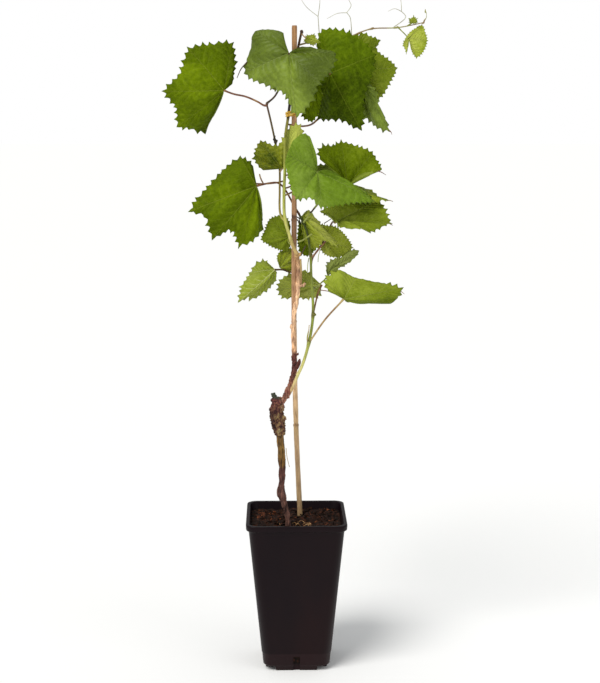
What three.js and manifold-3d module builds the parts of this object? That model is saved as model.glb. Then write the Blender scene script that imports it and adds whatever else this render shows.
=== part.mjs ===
// Potted young grapevine (Vitis), grafted on a rootstock, tied to a bamboo cane
// and standing in a tall square nursery pot.
//
// Millimetres. +X to the right, +Y to the back, +Z up. The origin is the centre
// of the pot's flat underside.

import * as THREE from 'three';
import { mergeVertices } from 'three/addons/utils/BufferGeometryUtils.js';
import Module from 'manifold-3d';

const wasm = await Module();
wasm.setup();

// ---------------------------------------------------------------- dimensions

const CLEARANCE = 0.3; // gap between pieces that touch

const POT = {
  rim: 120, // outside width at the lip
  wallTop: 115, // outside width just under the lip
  base: 81, // outside width at the bottom
  height: 185,
  lip: 7, // height of the lip's skirt
  wall: 1.8,
  corner: 12, // corner radius at the top
  foot: 6, // height of the feet under the floor
  footWidth: 51,
  panelStep: 22, // height of the small step near the bottom
  slotWidth: 8,
  slotHeight: 19,
};

const COMPOST = { top: 177, lumps: 1.5 };

const CANE = { radius: 3, bottom: 14, top: 764, knots: [290, 540] };

// Heights where one limb of the leader ends and the next begins
const JOINT = { graft: 293, graftTop: 333, arm: 372, crossing: 499, green: 662 };

const TRUNK = { foot: 4.4, neck: 3.6, top: 4.6, knotAt: 219, knot: 5.6 };

const GRAFT = { ends: 4.6, middle: 8.4 };

const LEAF = {
  thickness: 0.0105, // of the blade's greatest breadth
  teeth: 18,
  tooth: 0.04, // height of a tooth, of the spoke it stands on
  arch: 0.04, // rise of each spoke's middle, of the blade's length
  petiole: 1.2, // radius of the leaf stalk
};

const TENDRIL = { radius: 0.7, tip: 0.4 };

// ------------------------------------------------------------------ materials

function paint(color, roughness) {
  return new THREE.MeshStandardMaterial({ color, roughness, metalness: 0 });
}

const MATERIAL = {
  pot: paint(0x221c1d, 0.5),
  compost: paint(0x3a2519, 0.95),
  cane: paint(0xb98a68, 0.6),
  tie: paint(0xd9a32a, 0.5),
  oldWood: paint(0x6b4f33, 0.85),
  shoot: paint(0xa8b560, 0.55),
  brownShoot: paint(0x7d5a3c, 0.6),
  tendril: paint(0x9a9a62, 0.6),
  leaf: paint(0x4b7a22, 0.55),
};

// ----------------------------------------------------------- solids and meshes

function toSolid(geometry) {
  const bare = geometry.clone();
  bare.deleteAttribute('normal');
  bare.deleteAttribute('uv');
  const merged = mergeVertices(bare, 1e-4);
  return new wasm.Manifold(new wasm.Mesh({
    numProp: 3,
    vertProperties: new Float32Array(merged.attributes.position.array),
    triVerts: new Uint32Array(merged.index.array),
  }));
}

function toGeometry(solid) {
  const mesh = solid.getMesh();
  const geometry = new THREE.BufferGeometry();
  geometry.setAttribute('position', new THREE.BufferAttribute(mesh.vertProperties, 3));
  geometry.setIndex(new THREE.BufferAttribute(mesh.triVerts, 1));
  geometry.computeVertexNormals();
  return geometry;
}

// A closed skin over rings of points, each ring with the same number of points,
// closed by a fan of triangles at either end.
function skin(rings) {
  const sides = rings[0].length;
  const positions = rings.flat().flatMap((p) => [p.x, p.y, p.z]);
  const index = [];
  for (let r = 0; r + 1 < rings.length; r++) {
    for (let s = 0; s < sides; s++) {
      const a = r * sides + s;
      const b = r * sides + ((s + 1) % sides);
      index.push(a, b, b + sides, a, b + sides, a + sides);
    }
  }
  const centreOf = (ring) => {
    const sum = ring.reduce((total, p) => total.add(p), new THREE.Vector3());
    return sum.divideScalar(sides);
  };
  const last = (rings.length - 1) * sides;
  const foot = rings.length * sides;
  for (const ring of [rings[0], rings.at(-1)]) {
    const centre = centreOf(ring);
    positions.push(centre.x, centre.y, centre.z);
  }
  for (let s = 0; s < sides; s++) {
    const next = (s + 1) % sides;
    index.push(foot, next, s);
    index.push(foot + 1, last + s, last + next);
  }
  const geometry = new THREE.BufferGeometry();
  geometry.setAttribute('position', new THREE.Float32BufferAttribute(positions, 3));
  geometry.setIndex(index);
  return geometry;
}

function curveThrough(points) {
  return new THREE.CatmullRomCurve3(points.map((p) => new THREE.Vector3(...p)), false, 'centripetal');
}

// A limb of round section along a stretch of a curve. radiusAt is given the
// share of the stretch, 0 to 1, and the point's height. Each end can overrun.
function limb(curve, radiusAt, { sides = 8, steps = 12, from = 0, to = 1, overrun = 0 } = {}) {
  const rings = [];
  let across = null;
  for (let i = 0; i <= steps; i++) {
    const share = i / steps;
    const at = THREE.MathUtils.lerp(from, to, share);
    const point = curve.getPointAt(at);
    const along = curve.getTangentAt(at);
    if (i === 0) point.addScaledVector(along, -overrun);
    if (i === steps) point.addScaledVector(along, overrun);
    if (!across) {
      across = Math.abs(along.y) < 0.8 ? new THREE.Vector3(0, 1, 0) : new THREE.Vector3(1, 0, 0);
    }
    across.addScaledVector(along, -across.dot(along)).normalize();
    const other = along.clone().cross(across);
    const radius = radiusAt(share, point.z);
    const ring = [];
    for (let s = 0; s < sides; s++) {
      const angle = (2 * Math.PI * s) / sides;
      ring.push(point.clone()
        .addScaledVector(across, radius * Math.cos(angle))
        .addScaledVector(other, radius * Math.sin(angle)));
    }
    rings.push(ring);
  }
  return skin(rings);
}

// The share of a rising curve's length at which it reaches a height
function shareAtHeight(curve, height) {
  let low = 0;
  let high = 1;
  for (let i = 0; i < 30; i++) {
    const middle = (low + high) / 2;
    if (curve.getPointAt(middle).z < height) low = middle;
    else high = middle;
  }
  return (low + high) / 2;
}

const UP = new THREE.Vector3(0, 0, 1);

function lump(centre, radii, along = UP) {
  const turn = new THREE.Quaternion().setFromUnitVectors(UP, along.clone().normalize());
  const geometry = new THREE.SphereGeometry(1, 7, 5);
  geometry.rotateX(Math.PI / 2);
  geometry.scale(...radii);
  geometry.applyQuaternion(turn);
  geometry.translate(...centre);
  return toSolid(geometry);
}

// Radius that swells at a knot of the wood
function knot(height, at, reach) {
  return Math.exp(-(((height - at) / reach) ** 2));
}

// ------------------------------------------------------------------------- pot

// A square with rounded corners, counter-clockwise seen from above
function roundedSquare(width, corner, z) {
  const ring = [];
  const inner = width / 2 - corner;
  for (let quarter = 0; quarter < 4; quarter++) {
    const centre = Math.PI / 4 + (quarter * Math.PI) / 2;
    const cx = inner * Math.sign(Math.cos(centre));
    const cy = inner * Math.sign(Math.sin(centre));
    for (let step = 0; step <= 4; step++) {
      const angle = centre - Math.PI / 4 + (step * Math.PI) / 8;
      ring.push(new THREE.Vector3(cx + corner * Math.cos(angle), cy + corner * Math.sin(angle), z));
    }
  }
  return ring;
}

function wallWidth(z) {
  return THREE.MathUtils.mapLinear(z, POT.foot, POT.height, POT.base, POT.wallTop);
}

function wallCorner(z) {
  return THREE.MathUtils.mapLinear(z, POT.foot, POT.height, POT.corner * 0.7, POT.corner);
}

function potShell() {
  const lipBottom = POT.height - POT.lip;
  const floorTop = POT.foot + POT.wall;
  const inside = (z) => wallWidth(z) - 2 * POT.wall;
  return toSolid(skin([
    roundedSquare(wallWidth(POT.foot) - 3, wallCorner(POT.foot) - 1.5, POT.foot),
    roundedSquare(wallWidth(POT.foot + 2) - 1, wallCorner(POT.foot), POT.foot + 2),
    roundedSquare(wallWidth(POT.panelStep) - 1, wallCorner(POT.panelStep), POT.panelStep),
    roundedSquare(wallWidth(POT.panelStep + 1), wallCorner(POT.panelStep), POT.panelStep + 1),
    roundedSquare(wallWidth(lipBottom - 3), wallCorner(lipBottom), lipBottom - 3),
    roundedSquare(POT.rim - 1, POT.corner, lipBottom),
    roundedSquare(POT.rim, POT.corner, POT.height - 1),
    roundedSquare(POT.rim - 1, POT.corner, POT.height),
    roundedSquare(inside(POT.height), POT.corner - POT.wall, POT.height),
    roundedSquare(inside(floorTop), wallCorner(floorTop) - POT.wall, floorTop),
  ]));
}

// Two bars that cross under the floor and end in slanted feet at the walls
function potFeet() {
  const reach = (POT.base - 3) / 2;
  const half = POT.footWidth / 2;
  const bar = (turned) => {
    const ring = (grow, z) => {
      const x = half + grow;
      const corners = [[reach, -x], [reach, x], [-reach, x], [-reach, -x]];
      return corners.map(([a, b]) => (turned ? new THREE.Vector3(-b, a, z) : new THREE.Vector3(a, b, z)));
    };
    return toSolid(skin([ring(-2, 0), ring(0, POT.foot + POT.wall / 2)]));
  };
  return bar(false).add(bar(true));
}

function drainSlot(turn) {
  const slot = new THREE.BoxGeometry(POT.slotWidth, 8, POT.slotHeight + 2);
  slot.translate(0, POT.base / 2 - 1, (POT.slotHeight - 2) / 2);
  slot.rotateZ(turn);
  return toSolid(slot);
}

function pot() {
  let solid = potShell().add(potFeet());
  for (let side = 0; side < 4; side++) {
    solid = solid.subtract(drainSlot((side * Math.PI) / 2));
  }
  return solid;
}

// The compost fills the pot to below the rim, with a slightly lumpy top
function compost(planted) {
  const inset = 2 * (POT.wall + CLEARANCE);
  const bottom = POT.foot + POT.wall + CLEARANCE;
  const rings = [bottom, COMPOST.top - 2].map((z) =>
    roundedSquare(wallWidth(z) - inset, wallCorner(z) - POT.wall, z));
  for (const share of [0.8, 0.45]) {
    const ring = roundedSquare(wallWidth(COMPOST.top) * share, POT.corner * share, COMPOST.top);
    ring.forEach((p, i) => {
      p.z += COMPOST.lumps * Math.sin(i * 2.4 + share * 9) * share;
    });
    rings.push(ring);
  }
  let solid = toSolid(skin(rings));
  for (const piece of planted) {
    solid = solid.subtract(piece);
  }
  return solid;
}

// ------------------------------------------------------------ limbs of the vine

const CANE_LINE = curveThrough([
  [7, 30, CANE.bottom],
  [5, 25, 177],
  [1, 21, 270],
  [-2, 13, 405],
  [-2, 6, 563],
  [-1, -2, CANE.top],
]);

const TRUNK_LINE = curveThrough([
  [-8, -34, 150],
  [-9, -33, 177],
  [-14, -33, 205],
  [-18, -33, 219],
  [-17, -32, 245],
  [-18, -31, 272],
  [-20, -29, JOINT.graft],
  [-22, -27, 305],
  [-24, -26, 318],
  [-22, -25, JOINT.graftTop],
]);

const LEADER_LINE = curveThrough([
  [-21, -25, 321],
  [-14, -20, 330],
  [-9, -15, 340],
  [-5, -9, 352],
  [-2, -1, 364],
  [-2, 5, 378],
  [-3, 6, 404],
  [-1, 5, 428],
  [4, 8, 448],
  [5, 9, 470],
  [4, 7, 490],
  [2, 3, JOINT.crossing],
  [-3, 0, 508],
  [-7, 0, 520],
  [-13, 0, 542],
  [-14, -2, 570],
  [-13, -7, 598],
  [-13, -8, 618],
  [-12, -7, 640],
  [-9, -3, 660],
  [-7.5, -1, 672],
  [-6, 3, 690],
  [-3, 8, 712],
  [2, 7, 736],
  [7, 4, 759],
]);

const SECOND_LINE = curveThrough([
  [-9, -16, 334],
  [-3, -18, 346],
  [1, -16, 356],
  [8, -12, 371],
  [15, -9, 395],
  [20, -7, 428],
  [18, -3, 475],
  [17, 1, 500],
  [13, 6, 526],
  [4, 11, 546],
]);

const LATERAL_LINE = curveThrough([
  [-12, 1, 537],
  [-18, -1, 546],
  [-19, 4, 575],
  [-19, 8, 598],
  [-23, 8, 625],
  [-29, -2, 654],
  [-34, -8, 675],
]);

const TOP_LINE = curveThrough([
  [3, 6, 742],
  [14, 14, 745],
  [38, 22, 748],
  [58, 20, 750],
  [75, 14, 757],
  [89, 11, 761],
  [117, 8, 762],
  [135, 6, 765],
  [149, 5, 768],
]);

function trunkRadius(share, z) {
  const stem = THREE.MathUtils.lerp(TRUNK.neck, TRUNK.top, THREE.MathUtils.smoothstep(z, 235, 275));
  const flare = (TRUNK.foot - TRUNK.neck) * THREE.MathUtils.smoothstep(190 - z, 0, 25);
  return stem + flare + (TRUNK.knot - TRUNK.neck) * knot(z, TRUNK.knotAt, 8);
}

function graftRadius(share, z) {
  const rise = THREE.MathUtils.clamp((z - JOINT.graft) / (JOINT.graftTop - JOINT.graft), 0, 1);
  const swell = Math.sin(Math.PI * Math.min(1, rise * 1.1 + 0.1)) ** 0.6;
  return THREE.MathUtils.lerp(GRAFT.ends, GRAFT.middle, swell);
}

function leaderRadius(share, z) {
  const taper = THREE.MathUtils.mapLinear(z, 330, 760, 3, 1.5);
  const lowNodes = 0.8 * knot(z, 338, 5) + 0.7 * knot(z, 463, 4);
  const highNodes = 0.6 * knot(z, 499, 4) + 0.4 * knot(z, 539, 4);
  return taper + lowNodes + highNodes;
}

function secondRadius(share, z) {
  const taper = THREE.MathUtils.lerp(2.2, 1.4, share);
  const nodes = 0.6 * knot(z, 395, 4) + 0.6 * knot(z, 428, 4) + 0.5 * knot(z, 500, 4);
  return taper + nodes;
}

function lateralRadius(share, z) {
  return THREE.MathUtils.lerp(1.4, 1.1, share) + 0.4 * knot(z, 632, 3);
}

function topRadius(share) {
  return THREE.MathUtils.lerp(1.3, 0.7, share);
}

// One stretch of a curve between two heights, held clear of its neighbours
function stretch(curve, radiusAt, bottom, top, options = {}) {
  const margin = CLEARANCE / 2 / curve.getLength();
  const from = bottom === null ? 0 : shareAtHeight(curve, bottom) + margin;
  const to = top === null ? 1 : shareAtHeight(curve, top) - margin;
  return toSolid(limb(curve, radiusAt, { ...options, from, to }));
}

// The same limb, swollen by the clearance: what is cut away from a piece that
// grows out of it
function swollen(curve, radiusAt, options) {
  const grown = (share, z) => (radiusAt(share, z) + CLEARANCE) / Math.cos(Math.PI / options.sides);
  return toSolid(limb(curve, grown, { ...options, overrun: CLEARANCE }));
}

const BUD = [1.6, 1.6, 3];

function trunk() {
  const wood = stretch(TRUNK_LINE, trunkRadius, null, JOINT.graft, { sides: 10, steps: 16 });
  return wood.add(lump([-13, -33, 223], BUD));
}

// The swollen union, with the dead snag of the rootstock and a few hard warts
function graftUnion() {
  const snag = curveThrough([[-21, -27, 322], [-25, -27, 331], [-28, -27, 338]]);
  return stretch(TRUNK_LINE, graftRadius, JOINT.graft, null, { sides: 10, steps: 8 })
    .add(toSolid(limb(snag, () => 2.5, { sides: 6, steps: 3 })))
    .add(lump([-30, -27, 319], [2, 2, 2]))
    .add(lump([-25, -35, 318], [2.5, 2, 4]))
    .add(lump([-17, -34, 300], [3, 2, 4]));
}

// The young wood that grows from the union and sweeps back to the cane, with a
// cluster of buds at its foot and a cut stub at its head
function scionArm() {
  const arm = stretch(LEADER_LINE, leaderRadius, null, JOINT.arm, { sides: 8, steps: 14 });
  const stub = curveThrough([[-2, 1, 366], [2, -1, 374], [6, -2, 379]]);
  return arm
    .add(lump([-13, -21, 334], BUD))
    .add(lump([-11, -20, 329], [2.2, 2.2, 2.6]))
    .add(toSolid(limb(stub, () => 1.8, { sides: 6, steps: 3 })))
    .subtract(swollen(TRUNK_LINE, graftRadius, { sides: 10, steps: 24, from: 0.6 }));
}

// A stretch of the main shoot with the buds that stand on it
function leaderPart(bottom, top, steps, buds) {
  const shoot = stretch(LEADER_LINE, leaderRadius, bottom, top, { sides: 8, steps });
  return buds.reduce((solid, at) => solid.add(lump(at, BUD)), shoot);
}

function sideShoot({ line, radius, steps }, sides) {
  return toSolid(limb(line, radius, { sides, steps }))
    .subtract(swollen(LEADER_LINE, leaderRadius, { sides: 8, steps: 60 }));
}

// ----------------------------------------------------------------------- leaves

const vector = (numbers) => new THREE.Vector3(...numbers);

// The margin of a leaf, seen from the stalk's junction: a closed curve through
// the eleven points of its rim and the bottom of the bay at the stalk, which
// lies between the heels, or just behind the stalk where the heels spread wide.
// The rim runs clockwise seen from the leaf's upper face.
function marginOf(leaf) {
  const rim = leaf.rim.map(vector);
  const between = rim[0].clone().add(rim.at(-1)).multiplyScalar(0.15);
  const behind = rim[RIM.tip].clone().multiplyScalar(-0.03);
  const bay = between.dot(behind) > 0 ? between : behind;
  return new THREE.CatmullRomCurve3([bay, ...rim], true, 'centripetal');
}

// A point of the blade on the spoke from the junction to the margin, raised
// along the blade's normal where the spoke arches
function bladePoint(margin, along, share, length, offset) {
  const at = (u) => margin.getPointAt(THREE.MathUtils.euclideanModulo(u, 1));
  const spoke = at(along);
  const normal = at(along + 0.02).sub(at(along - 0.02)).cross(spoke).normalize();
  const arch = LEAF.arch * length * 4 * Math.min(share, 1) * (1 - Math.min(share, 1));
  return spoke.multiplyScalar(share).addScaledVector(normal, arch + offset);
}

// The way the blade faces at the junction, from its three middle veins
function facing(leaf) {
  const [left, tip, right] = [RIM.left, RIM.tip, RIM.right].map((k) => vector(leaf.rim[k]));
  return right.cross(tip).add(tip.cross(left)).normalize();
}

// One face of the blade: rings of points round the junction, the outer ring
// toothed. Returns the points, the triangles and where the outer ring starts.
function bladeFace(leaf, offset) {
  const margin = marginOf(leaf);
  const length = vector(leaf.rim[RIM.tip]).length();
  const face = facing(leaf);
  const points = 2 * LEAF.teeth;
  const rings = [
    { count: points / 4, share: 0.4 },
    { count: points / 2, share: 0.75 },
    { count: points, share: 1 },
  ];
  const positions = [face.multiplyScalar(offset)];
  const triangles = [];
  const first = [];
  for (const { count, share } of rings) {
    first.push(positions.length);
    for (let k = 0; k < count; k++) {
      const tooth = share < 1 ? 0 : LEAF.tooth * (k % 2 ? 1 : -0.6);
      positions.push(bladePoint(margin, k / count, share + tooth, length, offset));
    }
  }
  const inner = rings[0].count;
  for (let k = 0; k < inner; k++) {
    triangles.push([0, first[0] + k, first[0] + ((k + 1) % inner)]);
  }
  for (let ring = 0; ring + 1 < rings.length; ring++) {
    const few = rings[ring].count;
    for (let k = 0; k < few; k++) {
      const a = first[ring] + k;
      const b = first[ring] + ((k + 1) % few);
      const c = first[ring + 1] + 2 * k;
      const d = first[ring + 1] + ((2 * k + 2) % (2 * few));
      triangles.push([a, c, c + 1], [a, c + 1, b], [b, c + 1, d]);
    }
  }
  return { positions, triangles, margin: first.at(-1) };
}

function blade(leaf) {
  const ends = leaf.rim.map(vector);
  const span = Math.max(...ends.flatMap((a) => ends.map((b) => a.distanceTo(b))));
  const half = (span * LEAF.thickness) / 2;
  const upper = bladeFace(leaf, half);
  const under = bladeFace(leaf, -half);
  const below = upper.positions.length;
  const index = [];
  for (const [a, b, c] of upper.triangles) index.push(a, c, b);
  for (const [a, b, c] of under.triangles) index.push(below + a, below + b, below + c);
  const count = 2 * LEAF.teeth;
  for (let k = 0; k < count; k++) {
    const a = upper.margin + k;
    const b = upper.margin + ((k + 1) % count);
    index.push(a, b, below + b, a, below + b, below + a);
  }
  const junction = vector(leaf.at);
  const positions = [...upper.positions, ...under.positions].flatMap((p) => p.add(junction).toArray());
  const geometry = new THREE.BufferGeometry();
  geometry.setAttribute('position', new THREE.Float32BufferAttribute(positions, 3));
  geometry.setIndex(index);
  return toSolid(geometry);
}

const SHOOTS = {
  leader: { line: LEADER_LINE, radius: leaderRadius, steps: 60 },
  second: { line: SECOND_LINE, radius: secondRadius, steps: 24 },
  lateral: { line: LATERAL_LINE, radius: lateralRadius, steps: 14 },
  top: { line: TOP_LINE, radius: topRadius, steps: 16 },
};

// Where something grows from a shoot: at a height, or at a share of its length
function seatOn(shoot, given) {
  return shoot.line.getPointAt(given.share ?? shareAtHeight(shoot.line, given.height));
}

// A stalk or tendril along points, cut clear of the shoot that it grows from
function sprout(given, points, radiusAt) {
  const shoot = SHOOTS[given.on];
  const line = curveThrough([seatOn(shoot, given).toArray(), ...points]);
  const solid = toSolid(limb(line, radiusAt, { sides: 4, steps: 3 * points.length }));
  return solid.subtract(swollen(shoot.line, shoot.radius, { sides: 8, steps: shoot.steps }));
}

function leafOn(given) {
  const leaf = { via: [], ...given };
  const length = vector(leaf.rim[RIM.tip]).length();
  const radius = LEAF.petiole * THREE.MathUtils.clamp(length / 60, 0.6, 1);
  return blade(leaf).add(sprout(leaf, [...leaf.via, leaf.at], () => radius));
}

// Each leaf: the shoot and height (or share of its length) it grows from, the
// points its stalk passes, where the stalk meets the blade, and its rim from
// there: the heel beside the bay, the ends of the five main veins with a notch
// between each two, and the other heel.
const RIM = { left: 3, tip: 5, right: 7 };

const LEAVES = [
  { name: 'leaf_upper_left', on: 'lateral', share: 0.985,
    via: [[-37, -8, 673], [-44, -8, 677], [-58, -8, 683], [-72, -8, 686]], at: [-83, -8, 690],
    rim: [[-15, 14, -22], [-25, 23, -47], [-40, 14, -45], [-54, 5, -40], [-56, -3, -20], [-68, -10, -1],
      [-51, -5, 19], [-40, 0, 47], [-17, 6, 53], [9, 12, 53], [9, 4, 7]] },
  { name: 'leaf_upper_middle', on: 'lateral', share: 1,
    via: [[-24, -13, 684], [-14, -18, 706]], at: [-8, -18, 732],
    rim: [[15, 2, 7], [53, 5, -1], [48, -6, -20], [34, -18, -35], [27, -16, -50], [11, -14, -68],
      [-2, -4, -42], [-51, 22, -22], [-46, 22, 2], [-38, 18, 25], [-6, 10, 23]] },
  { name: 'leaf_upper_right', on: 'leader', height: 652,
    via: [[-8, 4, 651], [-1, 9, 650], [9, 12, 649], [29, 17, 661], [44, 18, 690]], at: [40, 10, 710],
    rim: [[-16, 4, 31], [-9, 6, 50], [22, 5, 47], [52, 2, 21], [41, -2, -28], [36, -8, -64],
      [11, 4, -54], [-13, 24, -52], [-20, 26, -29], [-33, 24, -10], [-20, 12, 13]] },
  { name: 'leaf_right_back', on: 'top', share: 0.5, via: [[62, 36, 737]], at: [72, 40, 715],
    rim: [[-2, 0, 23], [5, 0, 43], [17, 0, 39], [28, 0, 34], [24, 0, 25], [48, 2, 2],
      [41, 1, -14], [31, 0, -31], [19, 1, -39], [8, 1, -42], [-1, 1, -24]] },
  { name: 'leaf_right_low', on: 'top', share: 0.45, via: [[56, 32, 727]], at: [77, 30, 698],
    rim: [[11, 1, 0], [19, 2, -10], [21, 2, -20], [22, 3, -28], [25, -2, -37], [34, -10, -55],
      [20, -4, -51], [11, 3, -43], [1, 4, -37], [-6, 4, -30], [-7, 2, -13]] },
  { name: 'leaf_under_middle', on: 'leader', height: 690, via: [[8, 14, 700]], at: [20, 8, 700],
    rim: [[7, 2, -3], [11, 4, -15], [9, 3, -25], [7, 2, -35], [4, 1, -41], [-1, 0, -46],
      [-7, 2, -44], [-12, 4, -39], [-12, 5, -30], [-11, 6, -21], [-8, 3, -7]] },
  { name: 'leaf_tip_large', on: 'top', share: 0.8, via: [[124, 7, 757]], at: [131, 6, 750],
    rim: [[-1, -1, -9], [-3, -2, -18], [-4, -2, -14], [-7, -2, -6], [0, 0, 5], [15, 1, 15],
      [19, -1, 7], [21, -3, -3], [17, -4, -15], [9, -4, -22], [2, -3, -11]] },
  { name: 'leaf_tip_small', on: 'top', share: 0.87, at: [134, 3, 767],
    rim: [[-1, 1, -1], [-3, 1, 1], [-3, 0, 3], [-3, 0, 5], [0, 0, 6], [2, -1, 8],
      [4, 0, 6], [6, 0, 5], [6, 0, 3], [7, 1, 1], [2, 1, -1]] },
  { name: 'leaf_top_bud', on: 'leader', share: 0.985, via: [[9, 0, 752]], at: [12, -2, 749],
    rim: [[-2, 1, 1], [1, 2, 4], [5, 1, 4], [9, 0, 5], [12, 0, 0], [16, -1, -4],
      [11, -1, -6], [8, -1, -8], [3, 0, -6], [-1, 0, -5], [-3, 0, -1]] },
  { name: 'leaf_centre_left', on: 'lateral', height: 596, at: [-16, 0, 600],
    rim: [[-22, 2, -2], [-33, 3, 12], [-31, 2, 23], [-25, 2, 32], [-6, 0, 27], [10, -3, 49],
      [20, -3, 51], [25, -4, 38], [23, -4, 19], [14, -2, 8], [7, -1, 3]] },
  { name: 'leaf_centre_front', on: 'second', height: 536,
    via: [[20, 8, 551], [29, -2, 568]], at: [24, -16, 597],
    rim: [[13, 3, 2], [67, 5, -34], [32, -8, -37], [4, -28, -39], [-10, -36, -28], [-25, -44, -29],
      [-33, -36, -8], [-35, -26, 20], [-27, -18, 36], [-13, -8, 44], [-3, -3, 24]] },
  { name: 'leaf_right_fan', on: 'leader', height: 577,
    via: [[-9, 5, 578], [-3, 12, 580], [14, 23, 580], [40, 18, 575]], at: [61, 4, 579],
    rim: [[-14, -3, 14], [-32, -8, 32], [-35, -4, 41], [-29, 0, 48], [-19, 0, 48], [-8, 0, 52],
      [9, 0, 48], [28, 0, 40], [34, -4, 31], [39, -10, 20], [14, -4, 15]] },
  { name: 'leaf_right_flat', on: 'leader', height: 569,
    via: [[-9, 8, 570], [-3, 16, 572], [16, 27, 572], [42, 24, 571]], at: [54, 14, 573],
    rim: [[7, 18, 3], [15, 23, 4], [24, 22, 4], [32, 18, 2], [45, 6, -7], [57, -6, -11],
      [46, -11, -11], [35, -14, -12], [23, -15, -8], [13, -16, -3], [6, -10, 0]] },
  { name: 'leaf_right_lower', on: 'second', height: 488,
    via: [[21, 13, 496], [29, 22, 506], [36, 27, 518], [43, 20, 535]], at: [46, -2, 537],
    rim: [[-7, 10, 5], [-16, 22, 12], [11, 24, 22], [53, 18, 23], [60, 9, 14], [64, -6, -1],
      [53, -12, -5], [39, -20, -9], [22, -26, -4], [6, -26, -4], [2, -12, -3]] },
  { name: 'leaf_middle_left', on: 'second', share: 1,
    via: [[-2, 13, 556], [-14, 12, 577], [-21, 9, 583], [-31, 5, 583]], at: [-46, -3, 580],
    rim: [[1, 8, -19], [6, 20, -52], [-4, 16, -64], [-20, 10, -71], [-31, 2, -52], [-51, -6, -60],
      [-61, -5, -35], [-77, 0, -29], [-55, 5, 2], [-19, 10, 33], [-4, 5, 23]] },
  { name: 'leaf_behind_left', on: 'leader', height: 508, via: [[-9, 5, 514]], at: [-8, 13, 519],
    rim: [[2, 2, -9], [-2, 5, -17], [-11, 4, -16], [-20, 3, -12], [-27, 2, -8], [-33, 2, -3],
      [-29, 2, 8], [-23, 3, 21], [-14, 4, 25], [-6, 5, 26], [2, 2, 12]] },
  { name: 'leaf_behind_cane', on: 'second', share: 0.97, via: [[-1, 16, 543]], at: [9, 22, 531],
    rim: [[6, 1, 5], [16, 2, -2], [17, 2, -16], [17, 2, -25], [13, 2, -30], [5, 2, -36],
      [-3, 2, -32], [-6, 3, -21], [-7, 2, -13], [-6, 2, 0], [-5, 1, 9]] },
  { name: 'leaf_folded', on: 'second', height: 541, at: [7, 14, 543],
    rim: [[3, 3, 4], [8, 8, 7], [17, 6, -1], [25, 4, -13], [35, -5, -23], [41, -15, -34],
      [26, -13, -28], [20, -8, -36], [10, -6, -38], [3, -2, -26], [0, -1, -11]] },
  { name: 'leaf_yellow', on: 'second', height: 494,
    via: [[23, 8, 500], [30, 14, 508]], at: [35, 18, 513],
    rim: [[-6, 8, 12], [-7, 8, 20], [3, 4, 19], [12, -2, 18], [24, 2, 8], [32, -2, -7],
      [26, -1, -15], [14, 0, -19], [3, 1, -17], [-5, 2, -10], [-4, 1, -4]] },
  { name: 'leaf_grey', on: 'second', height: 458, via: [[25, 5, 461], [32, 5, 467]], at: [38, 8, 473],
    rim: [[-2, 2, 7], [0, 4, 15], [6, 4, 20], [18, 3, 23], [26, 0, 30], [36, -2, 30],
      [30, -8, 21], [22, -8, 15], [15, -9, 12], [11, -10, 7], [6, -5, 2]] },
  { name: 'leaf_low_right', on: 'second', height: 395, via: [[34, -10, 423]], at: [56, -14, 448],
    rim: [[-17, 2, 8], [-23, 6, 20], [-7, 5, 34], [15, 10, 24], [55, 5, 17], [67, -6, 13],
      [67, -6, 6], [55, -2, -4], [38, 5, 0], [22, 10, 3], [9, 5, 1]] },
  { name: 'leaf_low_behind', on: 'second', height: 428, via: [[27, 8, 455]], at: [31, 16, 461],
    rim: [[-9, 4, 5], [-15, 8, 14], [-23, 8, 17], [-39, 8, 13], [-49, 7, 6], [-53, 6, -6],
      [-46, 8, -16], [-34, 9, -16], [-19, 9, -17], [-5, 8, -16], [-1, 4, -9]] },
  { name: 'leaf_low_left', on: 'leader', height: 476,
    via: [[1, 15, 477], [-7, 15, 477], [-15, 12, 480]], at: [-25, 4, 481],
    rim: [[3, 4, -4], [-6, 12, -23], [-17, 11, -30], [-29, 9, -37], [-33, 4, -32], [-43, -4, -38],
      [-40, 2, -22], [-30, 11, -5], [-24, 13, 4], [-15, 14, 10], [-6, 5, 6]] },
  { name: 'leaf_left_inner', on: 'leader', height: 488, via: [[-2, 17, 491]], at: [-19, 18, 482],
    rim: [[-2, 1, 5], [-3, 2, 14], [-1, 3, 18], [4, 4, 21], [10, 4, 23], [15, 4, 22],
      [17, 3, 14], [16, 2, 5], [16, 2, -1], [13, 2, -5], [6, 1, -4]] },
  { name: 'leaf_back_top', on: 'leader', height: 672, via: [[-14, 22, 692]], at: [-18, 34, 722],
    rim: [[-6, 3, 10], [-22, 6, 14], [-23, 4, 2], [-26, 2, -10], [-15, 5, -19], [-6, 8, -32],
      [6, 5, -22], [20, 2, -16], [19, 4, -2], [20, 6, 12], [6, 3, 11]] },
  { name: 'leaf_back_upper', on: 'leader', height: 716, via: [[22, 40, 722]], at: [54, 54, 726],
    rim: [[-7, 3, 11], [-26, 8, 8], [-26, 6, -10], [-28, 4, -28], [-13, 7, -39], [0, 12, -56],
      [16, 7, -38], [34, 4, -26], [32, 7, -7], [32, 10, 12], [9, 5, 13]] },
  { name: 'leaf_back_centre', on: 'leader', height: 592, via: [[0, 24, 592]], at: [22, 40, 586],
    rim: [[-11, 2, 1], [-14, 4, -8], [0, 3, -14], [14, 2, -22], [30, 5, -7], [52, 8, 6],
      [40, 5, 14], [34, 2, 24], [14, 4, 18], [-4, 6, 14], [-11, 3, 2]] },
  { name: 'leaf_back_left', on: 'leader', height: 584,
    via: [[-15, 8, 585], [-22, 17, 583], [-40, 28, 581]], at: [-58, 30, 582],
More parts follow.
